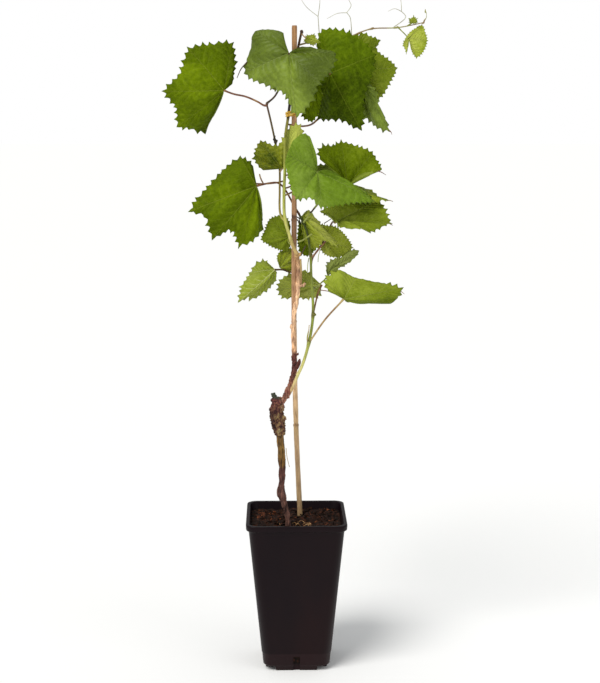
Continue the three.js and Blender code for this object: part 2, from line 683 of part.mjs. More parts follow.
    rim: [[-1, 3, 13], [-22, 6, 20], [-33, 4, 6], [-46, 2, -8], [-36, 5, -24], [-32, 8, -44],
      [-15, 5, -40], [0, 2, -42], [6, 4, -28], [12, 6, -16], [7, 3, 2]] },
];

// Each tendril grows from the top shoot and forks once
const TENDRILS = [
  { name: 'tendril_left', on: 'top', share: 0.19, stem: [[26, 15, 775]],
    forks: [[[28, 12, 793], [26, 10, 806], [29, 8, 818]], [[12, 10, 786], [6, 7, 796], [9, 4, 805]]] },
  { name: 'tendril_middle', on: 'top', share: 0.44, stem: [[63, 12, 774], [59, 9, 779]],
    forks: [[[64, 8, 787], [61, 7, 795], [66, 9, 808], [62, 10, 820]], [[48, 7, 778], [36, 6, 772]]] },
  { name: 'tendril_right', on: 'top', share: 0.76, stem: [[127, 4, 774], [122, 2, 780]],
    forks: [[[121, 2, 792], [118, 4, 803], [122, 6, 812]], [[114, 1, 783], [106, 0, 780]]] },
];

function tendril(given) {
  const end = given.stem.at(-1);
  let solid = sprout(given, given.stem, () => TENDRIL.radius);
  for (const fork of given.forks) {
    const line = curveThrough([end, ...fork]);
    const taper = (share) => THREE.MathUtils.lerp(TENDRIL.radius, TENDRIL.tip, share);
    solid = solid.add(toSolid(limb(line, taper, { sides: 4, steps: 4 * fork.length })));
  }
  return solid;
}

// ---------------------------------------------------------------------- the tie

function tie() {
  const at = shareAtHeight(LEADER_LINE, JOINT.green + 1);
  const stem = LEADER_LINE.getPointAt(at);
  const cane = CANE_LINE.getPointAt(shareAtHeight(CANE_LINE, stem.z));
  const loop = (grow) => {
    const shape = new THREE.Shape();
    const away = Math.atan2(cane.y - stem.y, cane.x - stem.x);
    shape.absarc(stem.x, stem.y, 2.4 + grow, away + Math.PI / 2, away + (3 * Math.PI) / 2);
    shape.absarc(cane.x, cane.y, CANE.radius + grow, away - Math.PI / 2, away + Math.PI / 2);
    shape.closePath();
    return shape;
  };
  const band = loop(2 * CLEARANCE + 1.4);
  band.holes.push(loop(2 * CLEARANCE));
  const geometry = new THREE.ExtrudeGeometry(band, { depth: 5, bevelEnabled: false, curveSegments: 5 });
  geometry.translate(0, 0, stem.z - 2.5);
  return toSolid(geometry);
}

// --------------------------------------------------------------------- assembly

const vine = new THREE.Group();

function place(name, solid, material) {
  const mesh = new THREE.Mesh(toGeometry(solid), material);
  mesh.name = name;
  vine.add(mesh);
}

const caneRadius = (share, z) => {
  const rings = CANE.knots.map((height) => 0.6 * knot(z, height, 2.5));
  return CANE.radius + rings[0] + rings[1];
};
const caneSteps = { sides: 10, steps: 24 };

place('pot', pot(), MATERIAL.pot);
place('compost', compost([
  swollen(CANE_LINE, caneRadius, caneSteps),
  swollen(TRUNK_LINE, trunkRadius, { sides: 10, steps: 24 }),
]), MATERIAL.compost);
place('bamboo_cane', toSolid(limb(CANE_LINE, caneRadius, caneSteps)), MATERIAL.cane);
place('tie', tie(), MATERIAL.tie);
place('trunk', trunk(), MATERIAL.oldWood);
place('graft_union', graftUnion(), MATERIAL.oldWood);
place('scion_arm', scionArm(), MATERIAL.brownShoot);
place('main_shoot_lower', leaderPart(JOINT.arm, JOINT.crossing, 18, [[7, 7, 466]]), MATERIAL.brownShoot);
place('main_shoot_middle', leaderPart(JOINT.crossing, JOINT.green, 18, [[-14, -7, 641]]), MATERIAL.shoot);
place('main_shoot_upper', leaderPart(JOINT.green, null, 14, []), MATERIAL.brownShoot);
place('second_shoot', sideShoot(SHOOTS.second, 8), MATERIAL.shoot);
place('lateral_shoot', sideShoot(SHOOTS.lateral, 6), MATERIAL.brownShoot);
place('top_shoot', sideShoot(SHOOTS.top, 6), MATERIAL.brownShoot);

for (const given of TENDRILS) {
  place(given.name, tendril(given), MATERIAL.tendril);
}
for (const leaf of LEAVES) {
  place(leaf.name, leafOn(leaf), MATERIAL.leaf);
}

export default vine;
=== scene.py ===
# %% [markdown]
# # A young grafted grapevine on its cane
# A vine is sold in a tall black pot: a woody rootstock, a swollen graft, thin shoots tied to a
# bamboo cane, toothed leaves on long stalks, and tendrils at the top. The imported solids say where
# every limb and leaf sits. This script dresses them, one kind of piece at a time.

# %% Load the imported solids
import bpy
import math
import random
import numpy as np
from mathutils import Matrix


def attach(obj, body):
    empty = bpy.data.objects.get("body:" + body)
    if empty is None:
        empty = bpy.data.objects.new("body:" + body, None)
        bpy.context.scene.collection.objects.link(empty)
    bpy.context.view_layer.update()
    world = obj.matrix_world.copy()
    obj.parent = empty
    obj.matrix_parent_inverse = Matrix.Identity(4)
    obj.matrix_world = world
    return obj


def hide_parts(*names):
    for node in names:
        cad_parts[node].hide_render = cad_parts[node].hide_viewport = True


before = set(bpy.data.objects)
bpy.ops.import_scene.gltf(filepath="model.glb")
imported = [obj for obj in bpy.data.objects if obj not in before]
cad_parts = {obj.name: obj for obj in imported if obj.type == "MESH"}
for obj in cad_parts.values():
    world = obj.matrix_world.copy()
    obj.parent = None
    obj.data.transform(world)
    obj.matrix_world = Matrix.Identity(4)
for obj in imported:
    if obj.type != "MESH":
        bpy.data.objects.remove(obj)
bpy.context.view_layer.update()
rng = np.random.default_rng(7)
random.seed(7)
MM = 0.001

# %% [markdown]
# ## Camera, floor and light
# The plant is seen from a little above its middle, from far enough away that it hardly
# narrows. A pale floor and a pale world give soft light from all sides, a sun as wide as a
# window comes from the upper left, and a large area lamp softens the shade on the right.

# %% Camera
TILT, TURN = math.radians(81.2), math.radians(-0.98)
bpy.ops.object.select_all(action="DESELECT")
bpy.ops.object.camera_add(location=(-0.025, -1.74, 0.665), rotation=(TILT, 0, TURN))
camera = bpy.context.object
camera.name = "camera"
camera.data.lens = 78.0
camera.data.sensor_width = 36.0
bpy.context.scene.camera = camera

# %% Floor
bpy.ops.mesh.primitive_plane_add(size=60, location=(0, 0, 0))
floor = bpy.context.object
floor.name = "floor"
floor_paint = bpy.data.materials.new("floor_paint")
floor_paint.use_nodes = True
paint = floor_paint.node_tree.nodes["Principled BSDF"].inputs
paint["Base Color"].default_value = (1.0, 1.0, 0.995, 1)
paint["Roughness"].default_value = 1.0
paint["Specular IOR Level"].default_value = 0.0
floor.data.materials.append(floor_paint)


# %% Pale surroundings
def pale_world(seen, light):
    """The surroundings look white, and light the plant with a softer share of that."""
    world = bpy.data.worlds.new("pale_world")
    world.use_nodes = True
    tree = world.node_tree
    shown = tree.nodes["Background"]
    shown.inputs["Color"].default_value = (1, 1, 1, 1)
    shown.inputs["Strength"].default_value = seen
    lit = tree.nodes.new("ShaderNodeBackground")
    lit.inputs["Color"].default_value = (0.97, 0.99, 1, 1)
    lit.inputs["Strength"].default_value = light
    path = tree.nodes.new("ShaderNodeLightPath")
    mix = tree.nodes.new("ShaderNodeMixShader")
    tree.links.new(path.outputs["Is Camera Ray"], mix.inputs["Fac"])
    tree.links.new(lit.outputs["Background"], mix.inputs[1])
    tree.links.new(shown.outputs["Background"], mix.inputs[2])
    tree.links.new(mix.outputs["Shader"], tree.nodes["World Output"].inputs["Surface"])
    bpy.context.scene.world = world


pale_world(seen=1.0, light=0.5)
bpy.context.scene.view_settings.view_transform = "Standard"


# %% Lamps
def lamp(kind, name, energy, place, aim):
    """A lamp that looks from its place at a point."""
    bpy.ops.object.light_add(type=kind, location=place)
    made = bpy.context.object
    made.name = name
    made.data.energy = energy
    away = np.array(place, float) - np.array(aim, float)
    flat = math.hypot(away[0], away[1])
    made.rotation_euler = (math.atan2(flat, away[2]), 0, math.atan2(away[0], -away[1]))
    return made


sun = lamp("SUN", "window_light", 2.15, (-1.2, -1.5, 2.6), (0, 0, 0.4))
sun.data.color = (1.0, 0.985, 0.955)
sun.data.angle = math.radians(32)
fill = lamp("AREA", "fill_lamp", 6, (1.7, -1.5, 1.1), (0, 0, 0.5))
fill.data.size = 1.4
print("lamps:", sun.data.energy, fill.data.energy)

# %% [markdown]
# ## Small helpers
# Every piece starts with nothing selected, ends with its place in its mesh, rides on the one
# body, and is named for what it stands in for.


# %% Start, finish and measure a piece
def nothing_selected():
    if bpy.context.object and bpy.context.object.mode != "OBJECT":
        bpy.ops.object.mode_set(mode="OBJECT")
    bpy.ops.object.select_all(action="DESELECT")


def only(piece):
    nothing_selected()
    piece.select_set(True)
    bpy.context.view_layer.objects.active = piece


def open_mesh(action="SELECT"):
    """Edit mode on the active piece, with everything or nothing selected."""
    bpy.ops.object.mode_set(mode="EDIT")
    bpy.ops.mesh.select_all(action=action)


def close_mesh():
    bpy.ops.object.mode_set(mode="OBJECT")


def apply(modifier):
    bpy.ops.object.modifier_apply(modifier=modifier.name)


def finish_piece(piece, name, slot, nodes, *finishes):
    """Places are put in the mesh, and the piece is tied to the solids it stands for."""
    only(piece)
    bpy.ops.object.transform_apply(location=True, rotation=True, scale=True)
    piece.name = name
    piece.data.name = name
    if finishes:
        piece.data.materials.clear()
        for finish in finishes:
            piece.data.materials.append(finish)
    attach(piece, "root")
    if nodes:
        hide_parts(*nodes)
    return piece


def join(pieces):
    only(pieces[0])
    for piece in pieces:
        piece.select_set(True)
    if len(pieces) > 1:
        bpy.ops.object.join()
    return bpy.context.object


def triangles(piece):
    return sum(len(p.vertices) - 2 for p in piece.data.polygons)


# %% [markdown]
# ## Finishes
# A finish is a small tree of nodes. Colours are given as they look on the surface and turned
# into the linear values that the shader wants. Patterns are in object coordinates, in metres.


# %% Colour and node helpers
BLACK, WHITE = (0, 0, 0, 1), (1, 1, 1, 1)
SAME = (1, 1, 1)


def linear(level):
    """One channel from 0..255 as linear light."""
    share = level / 255
    return share / 12.92 if level <= 10 else ((share + 0.055) / 1.055) ** 2.4


def tone(red, green, blue):
    """A surface colour from 0..255 as linear light."""
    return (linear(red), linear(green), linear(blue), 1)


class Finish:
    """A material and short ways to add nodes to it."""

    def __init__(self, name, roughness, specular):
        self.material = bpy.data.materials.new(name)
        self.material.use_nodes = True
        self.tree = self.material.node_tree
        self.shader = self.tree.nodes["Principled BSDF"]
        self.shader.inputs["Roughness"].default_value = roughness
        self.shader.inputs["Specular IOR Level"].default_value = specular

    def node(self, kind, **values):
        made = self.tree.nodes.new(kind)
        for key, value in values.items():
            if hasattr(made, key):
                setattr(made, key, value)
            else:
                made.inputs[key].default_value = value
        return made

    def link(self, source, target):
        self.tree.links.new(source, target)

    def give(self, socket, value):
        """A socket takes a number, a colour or what another node puts out."""
        if isinstance(value, (int, float, tuple)):
            socket.default_value = value
        else:
            self.link(value, socket)

    def place(self, scale=(1, 1, 1)):
        """Object coordinates stretched by a scale."""
        coords = self.node("ShaderNodeTexCoord")
        mapping = self.node("ShaderNodeMapping", Scale=scale)
        self.link(coords.outputs["Object"], mapping.inputs["Vector"])
        return mapping.outputs["Vector"]

    def axis(self, name):
        """One of the three object coordinates."""
        parts = self.node("ShaderNodeSeparateXYZ")
        self.link(self.node("ShaderNodeTexCoord").outputs["Object"], parts.inputs["Vector"])
        return parts.outputs[name]

    def noise(self, scale, detail, stretch=(1, 1, 1)):
        made = self.node("ShaderNodeTexNoise", Scale=scale, Detail=detail)
        self.link(self.place(stretch), made.inputs["Vector"])
        return made.outputs["Fac"]

    def ramp(self, value, stops):
        made = self.node("ShaderNodeValToRGB")
        elements = made.color_ramp.elements
        while len(elements) < len(stops):
            elements.new(0.5)
        for element, (position, colour) in zip(elements, stops):
            element.position = position
            element.color = colour
        self.link(value, made.inputs["Fac"])
        return made.outputs["Color"]

    def tones(self, value, stops):
        """A ramp of surface colours. Stops are (position, (red, green, blue))."""
        return self.ramp(value, [(position, tone(*colour)) for position, colour in stops])

    def climb(self, stops, scale, detail, reach):
        """Colour by height, unevenly by up to half the reach. Stops are (height in mm, colour)."""
        low, high = stops[0][0], stops[-1][0]
        wander = self.times(self.less(self.noise(scale, detail), 0.5), reach)
        above = self.less(self.add(self.axis("Z"), wander), low * MM)
        share = self.math("DIVIDE", above, (high - low) * MM)
        return self.tones(share, [((z - low) / (high - low), colour) for z, colour in stops])

    def shaded(self, colour, value, stops, share=1.0):
        """A colour multiplied by a ramp. Stops are (position, the factors for each channel)."""
        factors = self.ramp(value, [(position, (*factor, 1)) for position, factor in stops])
        return self.mix(share, colour, factors, "MULTIPLY")

    def math(self, operation, *values):
        made = self.node("ShaderNodeMath", operation=operation)
        for socket, value in zip(made.inputs, values):
            self.give(socket, value)
        return made.outputs["Value"]

    def add(self, total, *others):
        for other in others:
            total = self.math("ADD", total, other)
        return total

    def times(self, first, second):
        return self.math("MULTIPLY", first, second)

    def less(self, first, second):
        return self.math("SUBTRACT", first, second)

    def mix(self, share, first, second, kind="MIX"):
        made = self.node("ShaderNodeMix", data_type="RGBA", blend_type=kind)
        for name, wanted, value in (("Factor", "VALUE", share), ("A", "RGBA", first),
                                    ("B", "RGBA", second)):
            self.give(next(s for s in made.inputs if s.name == name and s.type == wanted), value)
        return next(s for s in made.outputs if s.type == "RGBA")

    def colour(self, value):
        self.link(value, self.shader.inputs["Base Color"])

    def bump(self, height, distance, strength):
        made = self.node("ShaderNodeBump", Distance=distance, Strength=strength)
        self.link(height, made.inputs["Height"])
        self.link(made.outputs["Normal"], self.shader.inputs["Normal"])


def mottled(name, surface, patches, stops, grain=None):
    """A skin in patches of a few colours, with a fine grain pressed into it.

    The surface is (roughness, gloss), the patches are (scale, detail) of a noise, and the
    grain is (scale, detail, depth in metres, strength).
    """
    finish = Finish(name, *surface)
    finish.colour(finish.tones(finish.noise(*patches), stops))
    if grain:
        finish.bump(finish.noise(*grain[:2]), *grain[2:])
    return finish.material


# %% [markdown]
# ## The pot
# A deep square nursery pot is blown from thin black plastic: square with rounded corners,
# narrower at the foot, a turned lip at the top and a small step near the bottom. A square is
# extruded ring by ring, its four corner edges are rounded together, and it stands on a cross
# of two low bars. Every size is in millimetres.


# %% Pot plastic
def pot_plastic():
    """Nearly black, with a brown cast, and greyer below the step, 22 mm up."""
    finish = Finish("pot_plastic", 0.42, 0.12)
    cast = [(0.35, (16, 5, 10)), (0.5, (20, 7, 11)), (0.7, (28, 10, 12))]
    skin = finish.tones(finish.noise(14, 3, (1, 1, 0.5)), cast)
    low = finish.ramp(finish.times(finish.axis("Z"), 10.0), [(0.215, WHITE), (0.225, BLACK)])
    finish.colour(finish.mix(finish.times(low, 0.6), skin, tone(40, 24, 26)))
    finish.bump(finish.noise(420, 2), 0.0001, 0.5)
    return finish.material


POT = {"rim": 120, "wall_top": 115, "base": 81, "height": 185, "lip": 7, "wall": 1.8, "corner": 12,
       "corner_bevel": 10.5, "hollow_to": 160, "foot": 6, "foot_width": 51, "step": 22,
       "slot_width": 8, "slot_height": 19}


def wall_width(z):
    rise = (z - POT["foot"]) / (POT["height"] - POT["foot"])
    return POT["base"] + (POT["wall_top"] - POT["base"]) * rise


# %% Extrude the pot ring by ring
def extrude_ring(z_now, z_next, width_now, width_next):
    """The selected cap is pulled up and scaled to the next ring's width."""
    up = (0, 0, (z_next - z_now) * MM)
    bpy.ops.mesh.extrude_region_move(TRANSFORM_OT_translate={"value": up})
    share = width_next / width_now
    bpy.ops.transform.resize(value=(share, share, 1), center_override=(0, 0, z_next * MM))


foot, step, height, rim, wall = (POT[key] for key in ("foot", "step", "height", "rim", "wall"))
lip_bottom, deep = height - POT["lip"], POT["hollow_to"]
inner = wall_width(height) - 2 * wall
# Each ring is (height, width): up the outside, over the lip and down the inside.
rings = [(foot, wall_width(foot) - 3), (foot + 1.5, wall_width(foot + 1.5) - 1),
         (step, wall_width(step) - 1), (step + 0.8, wall_width(step)),
         (lip_bottom - 4, wall_width(lip_bottom - 4)), (lip_bottom - 1, wall_width(lip_bottom) + 0.6),
         (lip_bottom, rim - 1.6), (lip_bottom + 1, rim - 0.6), (height - 1, rim),
         (height, rim - 0.8), (height, inner + 0.8), (height - 1, inner),
         (deep, wall_width(deep) - 2 * wall)]
nothing_selected()
bpy.ops.mesh.primitive_plane_add(size=rings[0][1] * MM, location=(0, 0, foot * MM))
pot = bpy.context.object
open_mesh()
for (z_now, width_now), (z_next, width_next) in zip(rings, rings[1:]):
    extrude_ring(z_now, z_next, width_now, width_next)
bpy.ops.mesh.select_all(action="DESELECT")
close_mesh()
for edge in pot.data.edges:
    a, b = (pot.data.vertices[i].co for i in edge.vertices)
    edge.select = (a.x > 0) == (b.x > 0) and (a.y > 0) == (b.y > 0)
bpy.context.tool_settings.mesh_select_mode = (False, True, False)
bpy.ops.object.mode_set(mode="EDIT")
bpy.ops.mesh.bevel(offset=POT["corner_bevel"] * MM, segments=7, affect="EDGES", clamp_overlap=False)
close_mesh()
print("pot shell faces:", len(pot.data.polygons))


# %% The foot and the drain slots
def block(size, place):
    nothing_selected()
    bpy.ops.mesh.primitive_cube_add(size=1, location=[c * MM for c in place])
    made = bpy.context.object
    made.scale = [c * MM for c in size]
    bpy.ops.object.transform_apply(location=False, rotation=False, scale=True)
    return made


def combine(target, other, operation):
    only(target)
    modifier = target.modifiers.new("combine", "BOOLEAN")
    modifier.operation = operation
    modifier.solver = "EXACT"
    modifier.object = other
    apply(modifier)
    bpy.data.objects.remove(other, do_unlink=True)


# The bars reach a little into the pot and are narrower underneath, and the slots are cut
# right through its wall.
INTO_POT, DRAFT, CUT = 1, 0.95, 8
bar_length = POT["base"] - 4
bar_height = foot + INTO_POT
bar_width = POT["foot_width"]
for size in ((bar_length, bar_width, bar_height), (bar_width, bar_length, bar_height)):
    bar = block(size, (0, 0, bar_height / 2))
    only(bar)
    open_mesh("DESELECT")
    close_mesh()
    for face in bar.data.polygons:
        face.select = face.normal.z < -0.5
    bpy.ops.object.mode_set(mode="EDIT")
    bpy.ops.transform.resize(value=(DRAFT, DRAFT, 1), center_override=(0, 0, 0))
    close_mesh()
    combine(pot, bar, "UNION")
reach = POT["base"] / 2 - 1
slot_width, slot_height = POT["slot_width"], POT["slot_height"]
for x, y in ((0, -1), (1, 0), (0, 1), (-1, 0)):
    size = (slot_width, CUT, slot_height) if x == 0 else (CUT, slot_width, slot_height)
    combine(pot, block(size, (x * reach, y * reach, slot_height / 2 - 0.5)), "DIFFERENCE")
only(pot)
SHARP = math.radians(35)
rounding = pot.modifiers.new("rounding", "BEVEL")
rounding.width = 0.35 * MM
rounding.segments = 2
rounding.limit_method = "ANGLE"
rounding.angle_limit = SHARP
apply(rounding)
bpy.ops.object.shade_smooth_by_angle(angle=SHARP)
finish_piece(pot, "pot_shell", "pot", ["pot"], pot_plastic())
print("pot:", triangles(pot), "triangles")

# %% [markdown]
# ## The compost
# Bark compost is dark and crumbly: lumps, thin flakes of dark and reddish bark, and a few
# straws. Its surface is a fine grid pushed up and down by seeded noise, and each kind of flake
# is one small shape copied at many sizes and turns.


# %% Compost finish
def crumb_finish(name, dark, mid, light):
    stops = [(0.36, dark), (0.52, mid), (0.68, light)]
    return mottled(name, (0.95, 0.2), (260, 6), stops, (500, 5, 0.0006, 0.9))


# %% The crumbly surface
# The height of the crumbs' tops, how deep the hollows between them are, the height of the
# compost's underside, the number of crumbs and the steps of the grid along each side.
TOP, HOLLOW, UNDERSIDE, CRUMBS, GRID = 177, 2.6, 9, 420, 90
nothing_selected()
bpy.ops.mesh.primitive_grid_add(x_subdivisions=GRID, y_subdivisions=GRID, size=1, location=(0, 0, 0))
compost = bpy.context.object
half = (wall_width(TOP) - 2 * wall) / 2 - 0.4
corner = POT["corner"] - wall
for vertex in compost.data.vertices:
    x, y = vertex.co.x * 2 * half, vertex.co.y * 2 * half
    over = (abs(x) - half + corner, abs(y) - half + corner)
    if min(over) > 0:
        pull = min(1, corner / math.hypot(*over))
        x = math.copysign(half - corner + over[0] * pull, x)
        y = math.copysign(half - corner + over[1] * pull, y)
    vertex.co = (x * MM, y * MM, 0)
spots = rng.uniform(-half, half, (CRUMBS, 2))
sizes = rng.uniform(2.2, 6.5, CRUMBS)
heights = rng.uniform(0.5, 2.6, CRUMBS)
at = np.array([v.co[:2] for v in compost.data.vertices]) / MM
lumps = np.zeros(len(at))
for (cx, cy), radius, rise in zip(spots, sizes, heights):
    distance = np.hypot(at[:, 0] - cx, at[:, 1] - cy) / radius
    lumps = np.maximum(lumps, rise * np.sqrt(np.clip(1 - distance**2, 0, 1)))
lumps += rng.normal(0, 0.22, len(at))
for vertex, rise in zip(compost.data.vertices, lumps):
    vertex.co.z = (TOP - HOLLOW + rise) * MM
only(compost)
open_mesh()
bpy.ops.mesh.region_to_loop()
bpy.ops.mesh.extrude_region_move(TRANSFORM_OT_translate={"value": (0, 0, (UNDERSIDE - TOP) * MM)})
share = (wall_width(UNDERSIDE) - 2 * wall - 1) / (2 * half)
bpy.ops.transform.resize(value=(share, share, 0), center_override=(0, 0, UNDERSIDE * MM))
bpy.ops.mesh.edge_face_add()
close_mesh()
bpy.ops.object.shade_smooth()
compost_finish = crumb_finish("dark_crumb", (12, 7, 5), (32, 18, 11), (70, 38, 24))
finish_piece(compost, "compost_fill", "compost", ["compost"], compost_finish)
print("compost:", triangles(compost), "triangles")


# %% Flakes of bark
# How far from the wall flakes lie, how far under the crumbs' tops, and a full turn.
INSET, BEDDED, ROUND = 6.0, 2.3, 6.3


def flake():
    """One thin torn flake of bark, a few millimetres long, made from a block."""
    made = block((6, 3.2, 1.1), (0, 0, 0))
    bpy.ops.object.mode_set(mode="EDIT")
    bpy.ops.mesh.subdivide(number_cuts=1)
    close_mesh()
    for vertex in made.data.vertices:
        length = max(vertex.co.length, 1e-6)
        vertex.co *= 0.72 + 0.5 * random.random()
        vertex.co.z += 0.0004 * math.sin(vertex.co.x / length * 2)
    return made


def scattered(first, count, low, high, name, finish):
    """Copies of a shape laid on the compost, each with its own mesh."""
    copies = []
    for _ in range(count):
        copy = first.copy()
        copy.data = first.data.copy()
        bpy.context.collection.objects.link(copy)
        x, y = rng.uniform(-half + INSET, half - INSET, 2)
        nearest = int(np.argmin(np.hypot(at[:, 0] - x, at[:, 1] - y)))
        copy.location = (x * MM, y * MM, (TOP - BEDDED + lumps[nearest]) * MM)
        copy.rotation_euler = (rng.normal(0, 0.45), rng.normal(0, 0.45), rng.uniform(0, ROUND))
        size = rng.uniform(low, high)
        copy.scale = (size, size * rng.uniform(0.6, 1.3), size)
        copies.append(copy)
    bpy.data.objects.remove(first, do_unlink=True)
    return finish_piece(join(copies), name, "compost", ["compost"], finish)


dark_flakes = scattered(flake(), 320, 0.7, 1.9, "bark_flakes_dark",
                        crumb_finish("dark_bark", (16, 9, 6), (38, 21, 13), (66, 36, 22)))
red_flakes = scattered(flake(), 80, 0.4, 1.5, "bark_flakes_red",
                       crumb_finish("red_bark", (48, 24, 14), (86, 44, 26), (146, 88, 52)))
print("flakes:", triangles(dark_flakes) + triangles(red_flakes), "triangles")

# %% [markdown]
# ## Curves for wood, stalks and veins
# Canes, shoots and stalks are all bent rods. Each is a curve through a few points, drawn as a
# path with a round bevel and its own radius at every point, then turned into a mesh so that
# bark and knots can be worked into it.


# %% A smooth line through points
def spline(points, closed=False, per=24):
    """A centripetal curve through the points: a dense row of points along it."""
    p = np.array(points, float)
    if closed:
        p = np.vstack([p[-1], p, p[0], p[1]])
    else:
        p = np.vstack([2 * p[0] - p[1], p, 2 * p[-1] - p[-2]])
    t = np.linspace(0, 1, per, endpoint=False)[:, None]
    rows = []
    for a, b, c, d in zip(p, p[1:], p[2:], p[3:]):
        d0, d1, d2 = (max(np.linalg.norm(q - r), 1e-6) ** 0.5 for q, r in ((b, a), (c, b), (d, c)))
        out = ((b - a) / d0 - (c - a) / (d0 + d1) + (c - b) / d1) * d1
        into = ((c - b) / d1 - (d - b) / (d1 + d2) + (d - c) / d2) * d1
        rows.append(b + out * t + (3 * (c - b) - 2 * out - into) * t**2
                    + (2 * (b - c) + out + into) * t**3)
    if not closed:
        rows.append(p[-2][None])
    return np.vstack(rows)


def lengths(line):
    return np.concatenate([[0], np.cumsum(np.linalg.norm(np.diff(line, axis=0), axis=1))])


def along(places, run, rows):
    """Rows of x, y, z read off at some places along a run."""
    return np.stack([np.interp(places, run, rows[:, k]) for k in range(3)], axis=-1)


def resample(line, count):
    run = lengths(line)
    return along(np.linspace(0, run[-1], count), run, line)


def between(line, bottom, top):
    """The stretch of a rising line between two heights."""
    return line[(line[:, 2] >= bottom) & (line[:, 2] <= top)]


def at_height(line, height):
    return line[int(np.argmin(np.abs(line[:, 2] - height)))]


def at_share(line, share):
    run = lengths(line)
    return along(share * run[-1], run, line)


RIPPLES = 28


def waves(points, wavelength, seed, stretch=(1, 1, 1)):
    """Smooth seeded unevenness, about -1 to 1, of a given wavelength in millimetres."""
    own = np.random.default_rng(seed)
    ways = own.normal(size=(RIPPLES, 3))
    ways /= np.linalg.norm(ways, axis=1)[:, None]
    turns = own.uniform(0, 2 * np.pi, RIPPLES)
    speeds = own.uniform(0.7, 1.4, RIPPLES) * 2 * np.pi / wavelength
    scaled = np.asarray(points) / np.array(stretch)
    return np.sin(scaled @ (ways * speeds[:, None]).T + turns).sum(axis=1) / math.sqrt(RIPPLES / 2)


# %% A rod along a line
def rod(line, radii, sides):
    """A path is drawn with a round bevel, and its radius is set point by point."""
    nothing_selected()
    bpy.ops.curve.primitive_nurbs_path_add(location=(0, 0, 0))
    curve = bpy.context.object.data
    curve.splines.clear()
    path = curve.splines.new("POLY")
    path.points.add(len(line) - 1)
    path.points.foreach_set("co", np.hstack([np.array(line) * MM, np.ones((len(line), 1))]).ravel())
    path.points.foreach_set("radius", np.array(radii, float) * MM)
    curve.dimensions = "3D"
    curve.resolution_u = 1
    curve.bevel_depth = 1.0
    curve.bevel_resolution = max(0, sides // 2 - 2)
    curve.use_fill_caps = True
    bpy.ops.object.convert(target="MESH")
    bpy.ops.object.shade_smooth()
    return bpy.context.object


def limb(points, count, radii, sides):
    """A rod along a smooth curve through a few points."""
    return rod(resample(spline(points), count), radii, sides)


def roughen(piece, amount):
    """Every point is moved along its normal by amount(point in mm) in mm."""
    mesh = piece.data
    count = len(mesh.vertices)
    place = np.empty(count * 3)
    normal = np.empty(count * 3)
    mesh.vertices.foreach_get("co", place)
    mesh.vertices.foreach_get("normal", normal)
    place = place.reshape(-1, 3)
    moved = place + normal.reshape(-1, 3) * (amount(place / MM) * MM)[:, None]
    mesh.vertices.foreach_set("co", moved.ravel())
    mesh.update()
    return piece


CANE = spline([
    (7, 30, 14), (5, 25, 177), (1, 21, 270), (-2, 13, 405), (-2, 6, 563), (-1.6, -2, 764)])
TRUNK = spline([
    (-8, -34, 150), (-9, -33, 177), (-14, -33, 205), (-18, -33, 219), (-17, -32, 245),
    (-18, -31, 272), (-20, -29, 293), (-22, -27, 305), (-24, -26, 318), (-22, -25, 333)])
LEADER = spline([
    (-21, -25, 321), (-14, -20, 330), (-9, -15, 340), (-5, -9, 352), (-2, -1, 364), (-2, 5, 378),
    (-3, 6, 404), (-2, 5, 428), (1.6, 8, 448), (2.6, 9, 470), (2.4, 7, 490), (1, 3, 499),
    (-3, 0, 508), (-7, 0, 520), (-13, 0, 542), (-14, -2, 570), (-13, -7, 598), (-13, -8, 618),
    (-12, -7, 640), (-9, -3, 660), (-7.5, -1, 672), (-5, 3, 690), (-3, 8, 712), (2, 7, 736),
    (7, 4, 759)])
SECOND = spline([
    (-9, -16, 334), (-3, -18, 346), (1, -16, 356), (8, -12, 371), (15, -9, 395), (20, -7, 428),
    (18, -3, 475), (17, 1, 500), (13, 6, 526), (4, 11, 546)])
LATERAL = spline([
    (-12, 1, 537), (-18, -1, 546), (-19, 4, 575), (-19, 8, 598), (-23, 8, 625), (-29, -2, 654),
    (-34, -8, 675)])
TOP_SHOOT = spline([
    (3, 6, 742), (14, 14, 745), (38, 22, 748), (58, 20, 750), (75, 14, 757), (89, 11, 761),
    (117, 8, 762), (135, 6, 765), (149, 5, 768)])
print("leader length:", round(lengths(LEADER)[-1]), "mm")

# %% Straws on the compost
straws = []
for number in range(16):
    x, y = rng.uniform(-38, 30) if number % 2 else rng.uniform(2, 16), rng.uniform(-46, -8)
    turn, span = rng.uniform(0, ROUND), rng.uniform(5, 12)
    ahead = np.array([math.cos(turn), math.sin(turn), 0]) * span
    start = np.array([x, y, TOP + 0.4])
    bow = start + ahead * 0.5 + (0, 0, rng.uniform(1, 3.4))
    straws.append(limb([start, bow, start + ahead], 10, np.linspace(0.42, 0.2, 10), 6))
straw_finish = mottled("dry_straw", (0.6, 0.3), (200, 3),
                       [(0.35, (112, 74, 44)), (0.5, (168, 124, 78)), (0.66, (214, 178, 128))])
finish_piece(join(straws), "dry_straws", "compost", ["compost"], straw_finish)
print("straws:", len(straws))

# %% [markdown]
# ## The bamboo cane
# A thin tonkin cane has long smooth joints, a slightly raised ring at each knot with a dark
# groove above it, and fine streaks along its length. It is tan low down, pinker higher up. The
# rod is made first; the rings come from the radius, the streaks from the finish.


